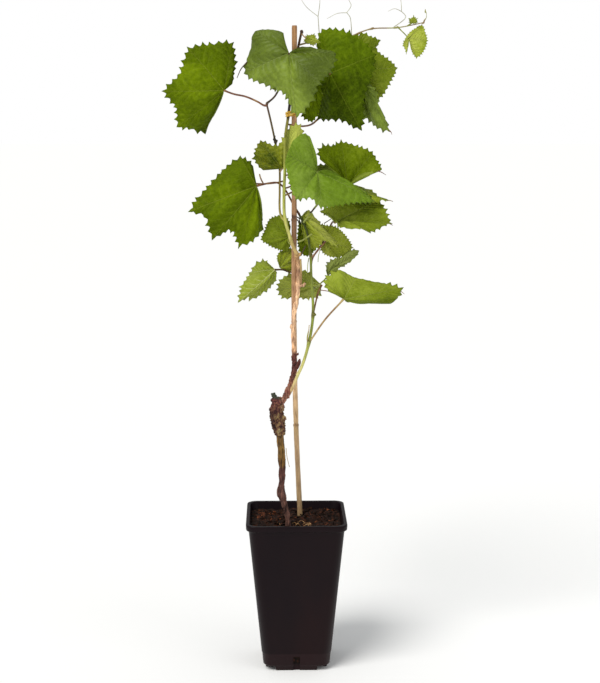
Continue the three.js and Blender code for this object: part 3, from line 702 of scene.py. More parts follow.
# %% Smooth wood
def streaked(name, stops, roughness=0.42, streak=0.05, fine=700, depth=0.00012):
    """Smooth wood coloured by height, with streaks along it. Stops are (height in mm, colour)."""
    finish = Finish(name, roughness, 0.35)
    streaks = finish.noise(fine, 3, (1, 1, streak))
    worn = [(0.3, (0.62, 0.58, 0.52)), (0.5, SAME), (0.7, (1.22, 1.2, 1.12))]
    skin = finish.shaded(finish.climb(stops, 60, 3, 0.03), streaks, worn)
    blotches = finish.noise(160, 4, (1, 1, 0.4))
    skin = finish.shaded(skin, blotches, [(0.35, (0.74, 0.68, 0.66)), (0.55, SAME)], 0.8)
    finish.colour(skin)
    finish.bump(streaks, depth, 0.7)
    return finish.material


# %% Cane with its knots
CANE_KNOTS = (107, 290, 418, 540, 662)
CANE_FROM = 150
line = resample(CANE, 760)
line = line[line[:, 2] >= CANE_FROM]
z = line[:, 2]
ring = sum(np.exp(-((z - k) / 1.3) ** 2) * 0.5 - np.exp(-((z - k - 2.2) / 0.8) ** 2) * 0.3
           for k in CANE_KNOTS)
taper = np.interp(z, [CANE_FROM, 764], [3.1, 3.05])
taper[-3:] = [3.0, 2.9, 2.6]
cane = rod(line, taper + ring, 20)
roughen(cane, lambda p: 0.08 * waves(p, 3.2, 11, (1, 1, 12)) + 0.06 * waves(p, 22, 12))
cane_finish = streaked("cane_skin", [
    (150, (172, 144, 106)), (200, (182, 152, 112)), (265, (184, 152, 114)), (286, (196, 166, 118)),
    (290, (140, 108, 72)), (294, (198, 166, 122)), (370, (226, 190, 148)), (408, (228, 190, 150)),
    (424, (178, 136, 100)), (490, (174, 133, 97)), (537, (142, 104, 74)), (543, (88, 58, 40)),
    (548, (172, 130, 96)), (660, (186, 142, 102)), (764, (172, 128, 84))],
    roughness=0.45, streak=0.06, fine=900, depth=0.00015)
finish_piece(cane, "bamboo_stake", "bamboo", ["bamboo_cane"], cane_finish)
print("cane:", triangles(cane), "triangles")

# %% [markdown]
# ## The trunk and the graft
# The rootstock's bark is grey-brown and comes off in long flakes; above the knot it turns
# golden where it has been peeled. The graft union is a lumpy swelling of callus with dead
# snags and dark old buds. Rods give the limbs, seeded unevenness gives the bark, and the
# union is several rods and lumps joined by one remesh so that they grow out of each other.


# %% Lumps, buds and a remesh
def points_of(piece):
    return np.array([v.co[:] for v in piece.data.vertices]) / MM


def set_out(piece, points, way, centre):
    """Points around the origin are turned so that up becomes the way, and moved to the centre."""
    up = np.array(way, float) / np.linalg.norm(way)
    side = np.cross((0, 1, 0) if abs(up[1]) < 0.9 else (1, 0, 0), up)
    side /= np.linalg.norm(side)
    points = points @ np.array([side, np.cross(up, side), up]) + np.array(centre)
    piece.data.vertices.foreach_set("co", (points * MM).ravel())
    bpy.ops.object.shade_smooth()
    return piece


def lump(centre, radii, way=(0, 0, 1), *, seed):
    """A sphere stretched and roughened into a bud or a wart."""
    nothing_selected()
    bpy.ops.mesh.primitive_ico_sphere_add(subdivisions=3, radius=MM, location=(0, 0, 0))
    piece = bpy.context.object
    points = points_of(piece)
    points *= 1 + 0.12 * waves(points, 1.6, 400 + seed)[:, None]
    points *= np.array(radii)
    return set_out(piece, points, way, centre)


def pointed(centre, length, width, way, seed):
    """A bud: round at its foot and drawn to a point."""
    nothing_selected()
    bpy.ops.mesh.primitive_uv_sphere_add(segments=14, ring_count=12, radius=MM, location=(0, 0, 0))
    piece = bpy.context.object
    points = points_of(piece)
    rise = (points[:, 2] + 1) / 2
    shoulder = 0.35
    drawn = np.clip((rise - shoulder) / (1 - shoulder), 0, 1)
    narrow = np.where(rise > shoulder, 1 - 0.85 * drawn ** 1.3, 1)
    uneven = 1 + 0.1 * waves(points, 1.3, 600 + seed)
    points[:, :2] *= (narrow * width / 2 * uneven)[:, None]
    points[:, 2] = (rise - 0.15) * length
    return set_out(piece, points, way, centre)


def grown_together(pieces, voxel):
    """Separate shapes are joined and remeshed into one skin."""
    piece = join(pieces)
    remesh = piece.modifiers.new("grown", "REMESH")
    remesh.mode = "VOXEL"
    remesh.voxel_size = voxel * MM
    apply(remesh)
    smooth = piece.modifiers.new("eased", "SMOOTH")
    smooth.iterations = 3
    apply(smooth)
    bpy.ops.object.shade_smooth()
    return piece


def swell(z, at, reach):
    return np.exp(-(((z - at) / reach) ** 2))


def swollen(radii, z, *nodes):
    """Radii that are larger at each node. Nodes are (height, reach, how much)."""
    for at, reach, much in nodes:
        radii = radii + much * swell(z, at, reach)
    return radii


def smoothstep(value, low, high):
    t = np.clip((value - low) / (high - low), 0, 1)
    return t * t * (3 - 2 * t)


# %% Trunk
line = resample(TRUNK, 150)
line = line[(line[:, 2] > 165) & (line[:, 2] < 300)]
z = line[:, 2]
radii = 3.0 + 1.3 * smoothstep(z, 235, 262) + 0.8 * smoothstep(190 - z, 0, 25)
radii = swollen(radii, z, (218, 8, 2.0))
trunk = grown_together([
    rod(line, radii, 24), lump((-14, -36.5, 214), (2.2, 1.6, 3), seed=1),
    lump((-20.5, -34, 222), (2.4, 2.2, 3.4), seed=2),
    lump((-15, -34, 205), (2.6, 2.2, 4), seed=3)], 0.55)


def trunk_bark(p):
    """Deep ridges and flakes low down, shallow ones above the knot where it has been peeled."""
    low = 1 - smoothstep(p[:, 2], 240, 258)
    ridges = np.abs(waves(p, 3.4, 21, (1, 1, 7))) * 0.55
    flakes = waves(p, 7, 22, (1, 1, 3)) * 0.3
    return (ridges + flakes) * (0.35 + 0.65 * low) - 0.25 + 0.12 * waves(p, 1.3, 23)


roughen(trunk, trunk_bark)


# %% Bark finish
def bark(name, stops, cracks=1.0, roughness=0.82):
    """Old bark: streaks along the limb, dark cracks and pale worn ridges."""
    finish = Finish(name, roughness, 0.25)
    strips = finish.noise(520, 6, (1, 1, 0.16))
    dark = 1 - 0.72 * cracks
    cracked = [(0.34, (dark, dark * 0.92, dark * 0.9)), (0.5, SAME), (0.66, (1.5, 1.45, 1.4))]
    worn = [(0.36, (0.6, 0.52, 0.52)), (0.52, SAME), (0.68, (1.25, 1.2, 1.1))]
    fibrous = [(0.38, (0.45, 0.4, 0.4)), (0.5, SAME), (0.64, (1.35, 1.3, 1.25))]
    skin = finish.shaded(finish.climb(stops, 110, 4, 0.022), strips, cracked)
    skin = finish.shaded(skin, finish.noise(190, 5, (1, 1, 0.5)), worn, 0.85)
    skin = finish.shaded(skin, finish.noise(1100, 4, (1, 1, 0.1)), fibrous, 0.8)
    finish.colour(skin)
    finish.bump(strips, 0.0009, 0.9)
    return finish.material


finish_piece(trunk, "rootstock_trunk", "old_wood", ["trunk"], bark("rootstock_bark", [
    (165, (98, 72, 64)), (200, (90, 62, 54)), (218, (98, 68, 60)), (240, (82, 52, 46)),
    (249, (78, 48, 42)), (256, (106, 78, 38)), (275, (118, 92, 46)), (290, (108, 82, 48)),
    (296, (84, 62, 44))]))
print("trunk:", triangles(trunk), "triangles")

# %% Graft union
UNION = [(-19.5, -29.5, 288), (-20, -29, 294), (-22, -27, 305), (-23.5, -26, 318), (-22, -25, 333)]
line = resample(spline(UNION), 40)
rise = np.clip((line[:, 2] - 288) / 45, 0, 1)
body = rod(line, 4.7 + 3.6 * np.sin(np.pi * np.clip(rise * 1.05 + 0.04, 0, 1)) ** 0.7, 24)
warts = [
    lump((-17.5, -33, 300), (3.2, 2.4, 4.4), seed=4),
    lump((-14.2, -31, 296), (1.4, 1.3, 4.2), (0.3, 0, -1), seed=5),
    lump((-15, -32, 309), (2.6, 2.2, 3.8), seed=6), lump((-28.5, -28, 313), (2.6, 2.4, 5), seed=7),
    lump((-26, -32, 304), (3.4, 2.6, 5), seed=8), lump((-22, -34, 312), (2.8, 2, 4.4), seed=9),
    lump((-17, -31, 322), (3.2, 3, 4), seed=10), lump((-27, -30, 322), (2.6, 2.6, 3.6), seed=11),
    lump((-20.5, -32.5, 328), (3.4, 2.6, 3.2), seed=12),
]
snag = limb([(-22, -27, 324), (-25.4, -27, 332), (-27.6, -27, 338.4)], 16,
            [2.5] * 13 + [2.7, 2.8, 2.5], 18)
nubs = [limb([(-27, -28, 329), (-30, -28, 331.4)], 8, np.linspace(1.9, 1.6, 8), 12),
        limb([(-28, -28, 317), (-31.6, -28, 320)], 8, np.linspace(2.1, 1.7, 8), 12)]
union = grown_together([body, snag, *warts, *nubs], 0.5)
roughen(union, lambda p: (0.34 * np.abs(waves(p, 4.2, 31, (1, 1, 2))) + 0.3 * waves(p, 2.2, 32) - 0.3
                          + 0.16 * waves(p, 1.1, 33)))


# %% Callus finish
def callus():
    """The union is mottled: cream and olive callus, red-brown bark and grey-green dead wood."""
    finish = Finish("graft_callus", 0.8, 0.25)

    def past(axis, start, per_metre):
        """How far beyond a start along an axis."""
        return finish.times(finish.less(finish.axis(axis), start), per_metre)

    skin = finish.tones(finish.noise(260, 6, (1, 1, 0.7)), [
        (0.34, (44, 28, 28)), (0.45, (82, 54, 46)), (0.52, (114, 88, 62)),
        (0.58, (144, 124, 86)), (0.63, (112, 100, 60)), (0.7, (200, 188, 152))])
    strips = finish.noise(600, 6, (1, 1, 0.3))
    fibrous = [(0.32, (0.35, 0.3, 0.3)), (0.5, SAME), (0.7, (1.35, 1.3, 1.2))]
    skin = finish.shaded(skin, strips, fibrous)
    from_left = [(0.0, (0.3, 0.2, 0.27)), (0.36, (0.5, 0.38, 0.42)), (0.66, (1.08, 1, 0.95))]
    skin = finish.shaded(skin, past("X", -0.032, 60.0), from_left)
    crown = finish.ramp(past("Z", 0.314, 60.0), [(0.0, BLACK), (0.8, WHITE)])
    buds = finish.tones(finish.noise(420, 4), [
        (0.4, (60, 26, 32)), (0.52, (108, 52, 56)), (0.62, (146, 96, 78))])
    skin = finish.mix(finish.times(crown, 0.75), skin, buds)
    head = finish.ramp(past("Z", 0.331, 400.0), [(0.0, BLACK), (1.0, WHITE)])
    finish.colour(finish.mix(head, skin, tone(66, 70, 56)))
    finish.bump(strips, 0.0008, 0.9)
    return finish.material


finish_piece(union, "graft_callus", "old_wood", ["graft_union"], callus())
print("graft:", triangles(union), "triangles")

# %% [markdown]
# ## Shoots
# Last year's wood is brown and fibrous, this year's is yellow-green and smooth, a little
# thicker and darker at every node. One rod per stretch; nodes come from the radius, and
# small scars and buds are lumps and points grown into the rod.


# %% Young wood of the scion
def leader_radius(z):
    base = np.interp(z, [330, 480, 540, 760], [3.0, 2.6, 1.95, 1.45])
    return swollen(base, z, (338, 5, 0.8), (463, 4, 0.7), (499, 4, 0.6), (539, 4, 0.4))


def arm_bark(p):
    """Rough up to the third bud, smoother above it."""
    rough = 0.16 + 0.3 * (1 - smoothstep(p[:, 2], 376, 392))
    return rough * waves(p, 2.4, 41, (1, 1, 3)) + 0.1 * waves(p, 9, 42)


line = resample(between(LEADER, 321, 499), 330)
arm = grown_together([
    rod(line, leader_radius(line[:, 2]) * 0.96, 20),
    pointed((-13.5, -22.5, 333), 6.5, 4.6, (-0.3, -0.4, 1), 1),
    pointed((-16.5, -24, 330), 5.5, 4.6, (-0.7, -0.5, 0.8), 2),
    pointed((-2.5, -1.5, 367), 9.5, 3.6, (0.42, -0.2, 1), 3),
    pointed((-3, -4, 361), 7, 3.2, (0.5, -0.5, 1), 4),
    lump((-3.4, 2, 376), (2.5, 1.8, 3.4), seed=13), lump((-8, -17.5, 342), (2.2, 1.4, 2.8), seed=14),
    lump((8.0, 6.5, 462), (1.8, 1.6, 2.0), seed=15),
    limb([(5, 8, 461), (9, 6, 462), (11, 5.5, 465.5)], 10, [1.4] * 7 + [1.6, 1.7, 1.4], 12),
    lump((4.5, 3.5, 499), (2.4, 2.4, 2.2), seed=16), lump((-5.6, 5, 413), (1.5, 1.3, 3.0), seed=31),
    pointed((0.8, 1, 379), 4.5, 2.6, (0.6, -0.3, 1), 32),
    limb([(-2, -6, 359), (1.5, -7, 367), (4.6, -7, 375)], 12, [1.6] * 4 + [1.9] * 6 + [2.1, 1.6], 12),
    lump((-13, -24.5, 335.5), (2.2, 1.8, 2.6), seed=33),
    lump((-9.5, -21, 333.5), (1.9, 1.6, 2.2), seed=34)], 0.42)
roughen(arm, arm_bark)
finish_piece(arm, "scion_wood", "brown_shoot", ["scion_arm", "main_shoot_lower"], bark("scion_bark", [
    (321, (150, 104, 88)), (332, (172, 126, 106)), (337, (104, 58, 50)), (342, (150, 106, 86)),
    (356, (112, 68, 56)), (366, (84, 44, 40)), (380, (100, 56, 46)), (392, (206, 164, 126)),
    (420, (228, 190, 152)), (460, (220, 182, 146)), (485, (200, 160, 122)), (499, (196, 162, 110))],
    cracks=0.3, roughness=0.6))
print("scion wood:", triangles(arm), "triangles")

# %% Green leader
line = resample(between(LEADER, 498.8, 759), 420)
line = line[line[:, 2] > 499.4]
green = grown_together([
    rod(line, swollen(leader_radius(line[:, 2]) * 0.98, line[:, 2], (662, 3, 0.5)), 20),
    pointed((-13, -9, 637), 7, 2.4, (0.1, -0.3, 1), 5), lump((-8, -4, 662), (2.0, 1.8, 1.5), seed=17),
    lump((6.8, 4, 757), (1.9, 1.9, 2.4), seed=18),
    lump((-13, 0, 541), (2.1, 1.9, 2.2), seed=19)], 0.38)
green_finish = streaked("leader_green", [
    (499, (196, 160, 104)), (507, (200, 178, 110)), (516, (196, 190, 112)), (545, (188, 192, 96)),
    (600, (170, 178, 78)), (640, (142, 146, 52)), (657, (128, 122, 42)), (662, (84, 74, 30)),
    (668, (44, 34, 14)), (700, (48, 36, 16)), (740, (92, 66, 40)), (759, (84, 58, 44))])
finish_piece(green, "green_leader", "green_shoot", ["main_shoot_middle", "main_shoot_upper"],
             green_finish)

# %% Second shoot
line = resample(SECOND, 330)
z = line[:, 2]
taper = np.interp(np.linspace(0, 1, len(z)), [0, 1], [2.0, 1.35])
radii = swollen(taper, z, (395, 4, 0.6), (428, 4, 0.6), (500, 4, 0.5))
second = grown_together([
    rod(line, radii * 0.98, 18),
    lump((15, -10, 396), (2.6, 2.2, 2.2), seed=20), lump((21, -8, 429), (2.2, 2.2, 2.0), seed=21),
    pointed((13.2, -10.5, 399), 15, 1.9, (0.08, -0.16, 1), 6),
    lump((17.6, 0, 500), (2.1, 2.1, 2.2), seed=22),
    pointed((20, -8, 430), 8, 1.8, (-0.25, -0.3, 1), 7)], 0.36)
finish_piece(second, "second_shoot_wood", "green_shoot", ["second_shoot"], streaked("second_green", [
    (334, (186, 146, 100)), (346, (204, 180, 126)), (356, (211, 201, 132)), (372, (190, 188, 108)),
    (392, (146, 152, 66)), (397, (112, 106, 42)), (402, (148, 160, 64)), (426, (138, 152, 58)),
    (430, (102, 98, 38)), (436, (136, 150, 56)), (495, (122, 136, 48)), (500, (92, 88, 36)),
    (508, (92, 106, 34)), (518, (58, 68, 18)), (546, (48, 58, 14))]))

# %% Lateral
line = resample(LATERAL, 240)
z = line[:, 2]
lateral = grown_together([
    rod(line, swollen(np.interp(z, [537, 675], [1.3, 1.15]), z, (632, 3, 0.45)), 16),
    lump(at_height(LATERAL, 631) + (0.6, -0.4, 0), (2.2, 1.8, 3.0), (0.2, 0, 1), seed=23),
    pointed(at_height(LATERAL, 634) + (-1.5, -0.5, 0), 7, 2.2, (0.55, -0.1, 1), 8),
    lump((-33.6, -8, 674.5), (1.7, 1.6, 1.9), seed=24)], 0.34)
finish_piece(lateral, "lateral_wood", "green_shoot", ["lateral_shoot"], streaked("lateral_olive", [
    (537, (176, 168, 86)), (556, (140, 126, 66)), (596, (122, 106, 52)), (622, (96, 84, 38)),
    (632, (44, 40, 18)), (640, (96, 82, 40)), (660, (92, 76, 46)), (675, (86, 62, 50))]))

# %% Top shoot
line = resample(TOP_SHOOT, 240)
length = lengths(line)[-1]
run = lengths(line) / length
radii = 1.1 - 0.5 * run
for node in (0.44, 0.6, 0.78):
    radii += 0.4 * np.exp(-(((run - node) * length / 2.2) ** 2))
top = grown_together([
    rod(line, radii, 16),
    lump((89, 10.6, 761.6), (1.6, 1.4, 1.3), seed=25),
    lump((117.5, 7.6, 762.6), (1.3, 1.2, 1.3), seed=26),
    pointed((148, 5, 768), 6, 2.0, (0.35, -0.1, 1), 9),
    pointed((146, 4.6, 766.6), 4.4, 1.7, (1, -0.2, 0.2), 10),
    limb([(148, 5, 768), (151, 4.6, 774), (150.6, 4.4, 780)], 12, np.linspace(0.5, 0.35, 12), 10),
    pointed((149.6, 4.4, 779), 5.6, 1.9, (0, 0, 1), 11)], 0.3)
top_finish = mottled("top_shoot_skin", (0.45, 0.4), (90, 3), [
    (0.34, (120, 90, 60)), (0.5, (140, 120, 70)), (0.66, (150, 150, 84))], (800, 3, 0.0001, 0.6))
finish_piece(top, "top_shoot_wood", "green_shoot", ["top_shoot"], top_finish)
print("shoots:", [triangles(p) for p in (green, second, lateral, top)], "triangles")

# %% [markdown]
# ## The tie
# The leader is held to the cane by a few turns of soft yellow-orange tape. A thin band is run
# round both in a loose spiral, with a knot and a short loose end.

# %% Tape
TURNS, TIED = 3.3, 663
angles = np.linspace(0, 2 * np.pi * TURNS, 150)
cane_at, leader_at = at_height(CANE, TIED), at_height(LEADER, TIED)
middle = (cane_at + leader_at) / 2
gap = leader_at - cane_at
reach = np.linalg.norm(gap[:2]) / 2
turn = math.atan2(gap[1], gap[0])
ring_x = (reach + 3.3 + 0.35 * np.sin(3 * angles)) * np.cos(angles)
ring_y = (3.5 + 0.3 * np.cos(2 * angles)) * np.sin(angles)
rise = 660.4 + angles / angles[-1] * 5 + 0.9 * np.sin(angles * 1.3)
tape_line = np.stack([middle[0] + ring_x * math.cos(turn) - ring_y * math.sin(turn),
                      middle[1] + ring_x * math.sin(turn) + ring_y * math.cos(turn), rise], axis=1)
hanging = ((0, 0, 0), (2, -2, 1.5), (4.5, -3, 0.4), (6, -2.4, -1.8))
loose = resample(spline([tape_line[-1] + away for away in hanging]), 20)[1:]
knot_at = (middle[0] - 2.2, middle[1] - 4.6, 662.6)
tape = join([rod(tape_line, [0.95] * len(tape_line), 8), rod(loose, np.linspace(0.9, 0.5, 19), 8),
             lump(knot_at, (2.3, 1.5, 1.7), seed=30)])
tape_finish = mottled("tie_tape", (0.38, 0.5), (300, 3), [
    (0.35, (176, 124, 30)), (0.5, (210, 164, 50)), (0.68, (228, 204, 110))], (900, 3, 0.0002, 0.6))
finish_piece(tape, "tie_tape", "tie", ["tie"], tape_finish)
print("tie:", triangles(tape), "triangles")

# %% [markdown]
# ## Leaf finishes
# A vine leaf is deep green and slightly waxy above, paler and duller beneath. Five pale main
# veins run from the stalk's junction, and side veins leave them and run to the teeth. Every
# blade carries a map whose first number counts the main veins (a vein lies at each whole
# number) and whose second runs from the junction, 0, to the margin, 1. The finish draws the
# veins from that map, so they follow each leaf's own shape.


# %% Leaf finish
# Where a main and a side vein start to fade and where they end, how many side veins leave
# each side of a main one, and how far those on its two sides are staggered.
MAIN_VEIN = (0.001, 0.013)
SIDE_VEIN = (0.015, 0.075)
SIDE_VEINS = 8.5
STAGGER = 0.37


def leaf_finish(name, dark, mid, light, vein, roughness, gloss, veined, raised=False):
    """A mottled green, with pale veins drawn and pressed in, or raised, from the blade's map."""
    finish = Finish(name, roughness, gloss)
    add, times, less, math_of = finish.add, finish.times, finish.less, finish.math
    parts = finish.node("ShaderNodeSeparateXYZ")
    finish.link(finish.node("ShaderNodeUVMap", uv_map="Veins").outputs["UV"], parts.inputs["Vector"])
    around, out = parts.outputs["X"], parts.outputs["Y"]
    # Each lobe of the blade is made paler or darker by the blade's lobe attribute: partly the leaf's own
    # tone, partly painted light and painted shade.
    depth = finish.node("ShaderNodeAttribute", attribute_name="Depth").outputs["Fac"]

    def line(value, thin, wide):
        """1 where the value is under thin, falling to 0 at wide."""
        made = finish.node("ShaderNodeMapRange", interpolation_type="SMOOTHSTEP",
                           **{"From Min": thin, "From Max": wide, "To Min": 1.0, "To Max": 0.0})
        finish.link(value, made.inputs["Value"])
        return made.outputs["Result"]

    across = math_of("PINGPONG", around, 0.5)
    main = line(times(across, times(out, add(0.7, out))), *MAIN_VEIN)
    bent = math_of("DIVIDE", out, add(1.0, times(across, 1.5)))
    staggered = times(math_of("FLOOR", times(around, 2.0)), STAGGER)
    wander = times(less(finish.noise(80, 2), 0.5), 0.3)
    ridge = math_of("PINGPONG", add(times(bent, SIDE_VEINS), staggered, wander), 0.5)
    side = times(line(ridge, *SIDE_VEIN), line(across, 0.2, 0.48))
    net = finish.node("ShaderNodeTexVoronoi", feature="DISTANCE_TO_EDGE", Scale=330)
    finish.link(finish.place(), net.inputs["Vector"])
    web = less(1.0, math_of("MINIMUM", times(net.outputs["Distance"], 7.0), 1.0))
    broad = add(0.11, times(finish.noise(34, 3), 0.48))
    fine = times(finish.noise(260, 4), 0.3)
    # Painted shade of the quilted panels: the green is made a little darker in the middle of each panel
    # between side veins and a little lighter along them.
    painted_quilt_shade = times(less(ridge, 0.25), -0.09)
    mottle_and_painted_shade = add(add(broad, fine), add(painted_quilt_shade, depth))
    skin = finish.tones(mottle_and_painted_shade, [(0.30, dark), (0.5, mid), (0.70, light)])
    for drawn, share in ((web, 0.10), (side, veined * 0.28), (main, veined * 0.9)):
        skin = finish.mix(times(drawn, share), skin, tone(*vein))
    finish.colour(skin)
    relief = add(main, times(side, 0.6), times(web, 0.2), times(line(ridge, 0.0, 0.5), 0.9))
    finish.bump(relief if raised else less(3.0, relief), 0.0006, 0.8)
    return finish.material


# Dark, middle and light green, the veins, roughness, gloss, and how far the veins show.
LEAF_TONES = {
    "deep": ((56, 72, 0), (84, 104, 0), (116, 138, 6), (148, 162, 56), 0.55, 0.03, 0.6),
    "folded": ((48, 64, 0), (80, 102, 2), (116, 138, 16), (138, 154, 44), 0.55, 0.03, 0.36),
    "olive": ((66, 82, 0), (92, 111, 1), (128, 144, 30), (156, 168, 70), 0.55, 0.03, 0.5),
    "matte": ((80, 104, 8), (104, 132, 24), (130, 156, 56), (156, 174, 92), 0.55, 0.1, 0.35),
    "waxy": ((72, 88, 12), (94, 112, 26), (126, 146, 48), (146, 160, 90), 0.42, 0.2, 0.4),
    # A grey-green whose grey cast is painted sheen, the glancing reflection on a waxy leaf.
    "grey": ((98, 114, 36), (120, 134, 52), (142, 154, 74), (176, 184, 116), 0.5, 0.12, 0.5),
    "fresh": ((86, 104, 4), (112, 128, 18), (146, 160, 50), (180, 190, 100), 0.5, 0.07, 0.5),
    "ribbed": ((104, 120, 10), (136, 150, 42), (160, 172, 76), (206, 212, 140), 0.5, 0.07, 2.6),
    "pale": ((118, 132, 18), (146, 158, 40), (180, 186, 84), (204, 208, 136), 0.5, 0.08, 0.5),
    # Painted light shining through leaves that have light behind them.
    "lime": ((108, 126, 10), (144, 158, 38), (184, 192, 84), (206, 212, 130), 0.5, 0.08, 0.5),
    # From deep green to a pale green that is painted light shining through the leaf.
    "dark_with_painted_backlight": ((60, 76, 0), (122, 128, 16), (180, 188, 82), (190, 196, 110), 0.5, 0.08, 0.4),
}
DOWN = (176, 184, 140)
UPPER = {name: leaf_finish("leaf_" + name, *tones) for name, tones in LEAF_TONES.items()}


def under(colour):
    """The underside of a leaf is the same green with a pale down over it."""
    return tuple(int(c * 0.72 + pale * 0.28) for c, pale in zip(colour, DOWN))


LOWER = {name: leaf_finish("under_" + name, *map(under, tones[:4]), 0.7, 0.05, 0.65, raised=True)
         for name, tones in LEAF_TONES.items()}
print("leaf finishes:", len(UPPER) + len(LOWER))

# %% [markdown]
# ## Leaves
# Each blade is laid out by its five main veins. A smooth margin passes through their ends,
# with a notch between each two and an open bay at the stalk. A flat grid is added, and its
# columns become spokes from the junction to the margin and its rows become rings: the
# points are moved onto that form, the rim is cut into teeth, the panels between the veins
# swell up a little and the margin waves. Solidify gives the blade its thickness.


# %% The margin of a leaf
def margin_points(rim):
    """The bay at the stalk, then the rim from one heel round to the other."""
    rim = np.array(rim, float)
    between, behind = (rim[0] + rim[-1]) * 0.15, rim[5] * -0.03
    return np.vstack([between if between @ behind > 0 else behind, rim])


# The margin's six runs, from a heel to the first vein, from vein to vein and to the other
# heel, by the numbers of its points, and how many steps it has from one point to the next.
RUNS = [(1, 2), (2, 4), (4, 6), (6, 8), (8, 10), (10, 11)]
PER = 44
# From tooth to tooth: a share of the middle vein, within two limits in millimetres, closer
# beside the stalk, and more or less by chance.
SPACING, FINEST, COARSEST, AT_HEEL, UNEVEN = 0.118, 3.2, 8.4, 0.9, 0.18
HEELS = (0, 5)


def toothed_stations(line, length, own):
    """Where the spokes end: (place along the margin, tooth, quarter, teeth, run, share of the run)."""
    run = lengths(line)
    spacing = float(np.clip(length * SPACING, FINEST, COARSEST))
    stations = []
    for number, (first, last) in enumerate(RUNS):
        a, b = run[first * PER], run[last * PER]
        teeth = max(2, round((b - a) / spacing / (AT_HEEL if number in HEELS else 1)))
        edges = np.linspace(0, 1, teeth + 1)
        edges[1:-1] += own.uniform(-UNEVEN, UNEVEN, teeth - 1) / teeth
        for k in range(teeth):
            for part in range(4):
                share = edges[k] + (edges[k + 1] - edges[k]) * (part / 4)
                stations.append((a + (b - a) * share, k, part, teeth, number, share))
    stations.append((run[11 * PER], 0, 0, 1, 5, 1.0))
    return stations, run, spacing


# Where the rings lie, from the junction, 0, to the margin, 1.
RINGS = np.array([
    0, 0.06, 0.13, 0.21, 0.3, 0.39, 0.48, 0.57, 0.655, 0.73, 0.80, 0.86, 0.91, 0.955, 1])
# The depth of the teeth as a share of their spacing, how far the panels swell and the margin
# waves as shares of the blade's length, and the blade's thickness in millimetres.
TOOTH, PUFF, WAVE, THICK = 0.42, 0.045, 0.02, 0.45
# The sizes that teeth come in, and how much larger the tooth at the end of a vein is.
TEETH = [0.45, 0.7, 1.0, 1.25]
VEIN_TOOTH = 1.25


def facing(veins, count):
    """The normal at each vein number, from the panels between the veins, and their mean."""
    panels = [np.cross(b, a) for a, b in zip(veins, veins[1:])]
    panels = [n / max(np.linalg.norm(n), 1e-6) for n in panels]
    face = sum(panels)
    face /= np.linalg.norm(face)
    rows = np.array([panels[0], *panels, panels[-1]])
    normal = along(count, np.arange(len(rows)) + 0.5, rows) * 0.75 + face * 0.25
    return normal / np.linalg.norm(normal, axis=1)[:, None], face


def leaf_form(spec):
    """The points of a blade as spokes by rings, in millimetres, and its map."""
    veins = spec["rim"][1::2]
    length = np.linalg.norm(veins[2])
    own = np.random.default_rng(spec["seed"])
    line = spline(margin_points(spec["rim"]), closed=True, per=PER)
    line = np.vstack([line, line[:1]])
    stations, run, spacing = toothed_stations(line, length, own)
    places = np.array([s[0] for s in stations])
    rim = along(places, run, line)
    ahead = along(places + 1.5, run, line) - along(places - 1.5, run, line)
    ahead /= np.linalg.norm(ahead, axis=1)[:, None]
    count = np.array([s[4] + s[5] for s in stations])
    normal, face = facing(veins, count)
    outward = np.cross(ahead, normal)
    outward *= np.sign((outward * rim).sum(axis=1))[:, None]
    height = TOOTH * spacing
    tooth = np.zeros((len(stations), 3))
    sizes = {}
    for i, (_, k, part, teeth, number, share) in enumerate(stations):
        first = VEIN_TOOTH if k == 0 and number > 0 else 1
        big = sizes.setdefault((number, k), own.choice(TEETH) * first)
        if k + 1 < teeth:
            after = sizes.setdefault((number, k + 1), own.choice(TEETH))
        else:
            after = VEIN_TOOTH if number < 5 else 0.2
        lean = (count[i] - np.round(count[i])) * -0.5
        level = (big * 0.85, big * 0.1 - 0.12, -0.45, after * 0.14 - 0.2)[part]
        level *= 0.12 if any(low <= count[i] <= high for low, high in spec["smooth"]) else 1
        if number == 0:
            level *= smoothstep(share, 0.0, 0.45)
        if number == 5:
            level *= 1 - smoothstep(share, 0.55, 1.0)
        tooth[i] = (outward[i] + ahead[i] * lean) * level * height
    s = RINGS[None, :, None]
    arch = 4 * s * (1 - s)
    panel = np.sin(np.pi * (count - np.floor(count)))[:, None, None] ** 2
    edge = smoothstep(count, 0.0, 0.5) * (1 - smoothstep(count, 5.5, 6.0))
    wave = sum(much * np.sin(count * 2 * np.pi * pace + phase)
               for much, pace, phase in zip((1, 0.6, 0.4), (1.0, 1.7, 3.1), own.uniform(0, ROUND, 3)))
    rise = (0.04 * arch + PUFF * panel * arch * edge[:, None, None]
            + WAVE * wave[:, None, None] * s**3.2)
    form = rim[:, None, :] * s + tooth[:, None, :] * s**7 + normal[:, None, :] * rise * length
    form += spec["at"]
    chart = np.stack(np.broadcast_arrays(count[:, None], RINGS[None, :]), axis=2)
    return form, chart, face


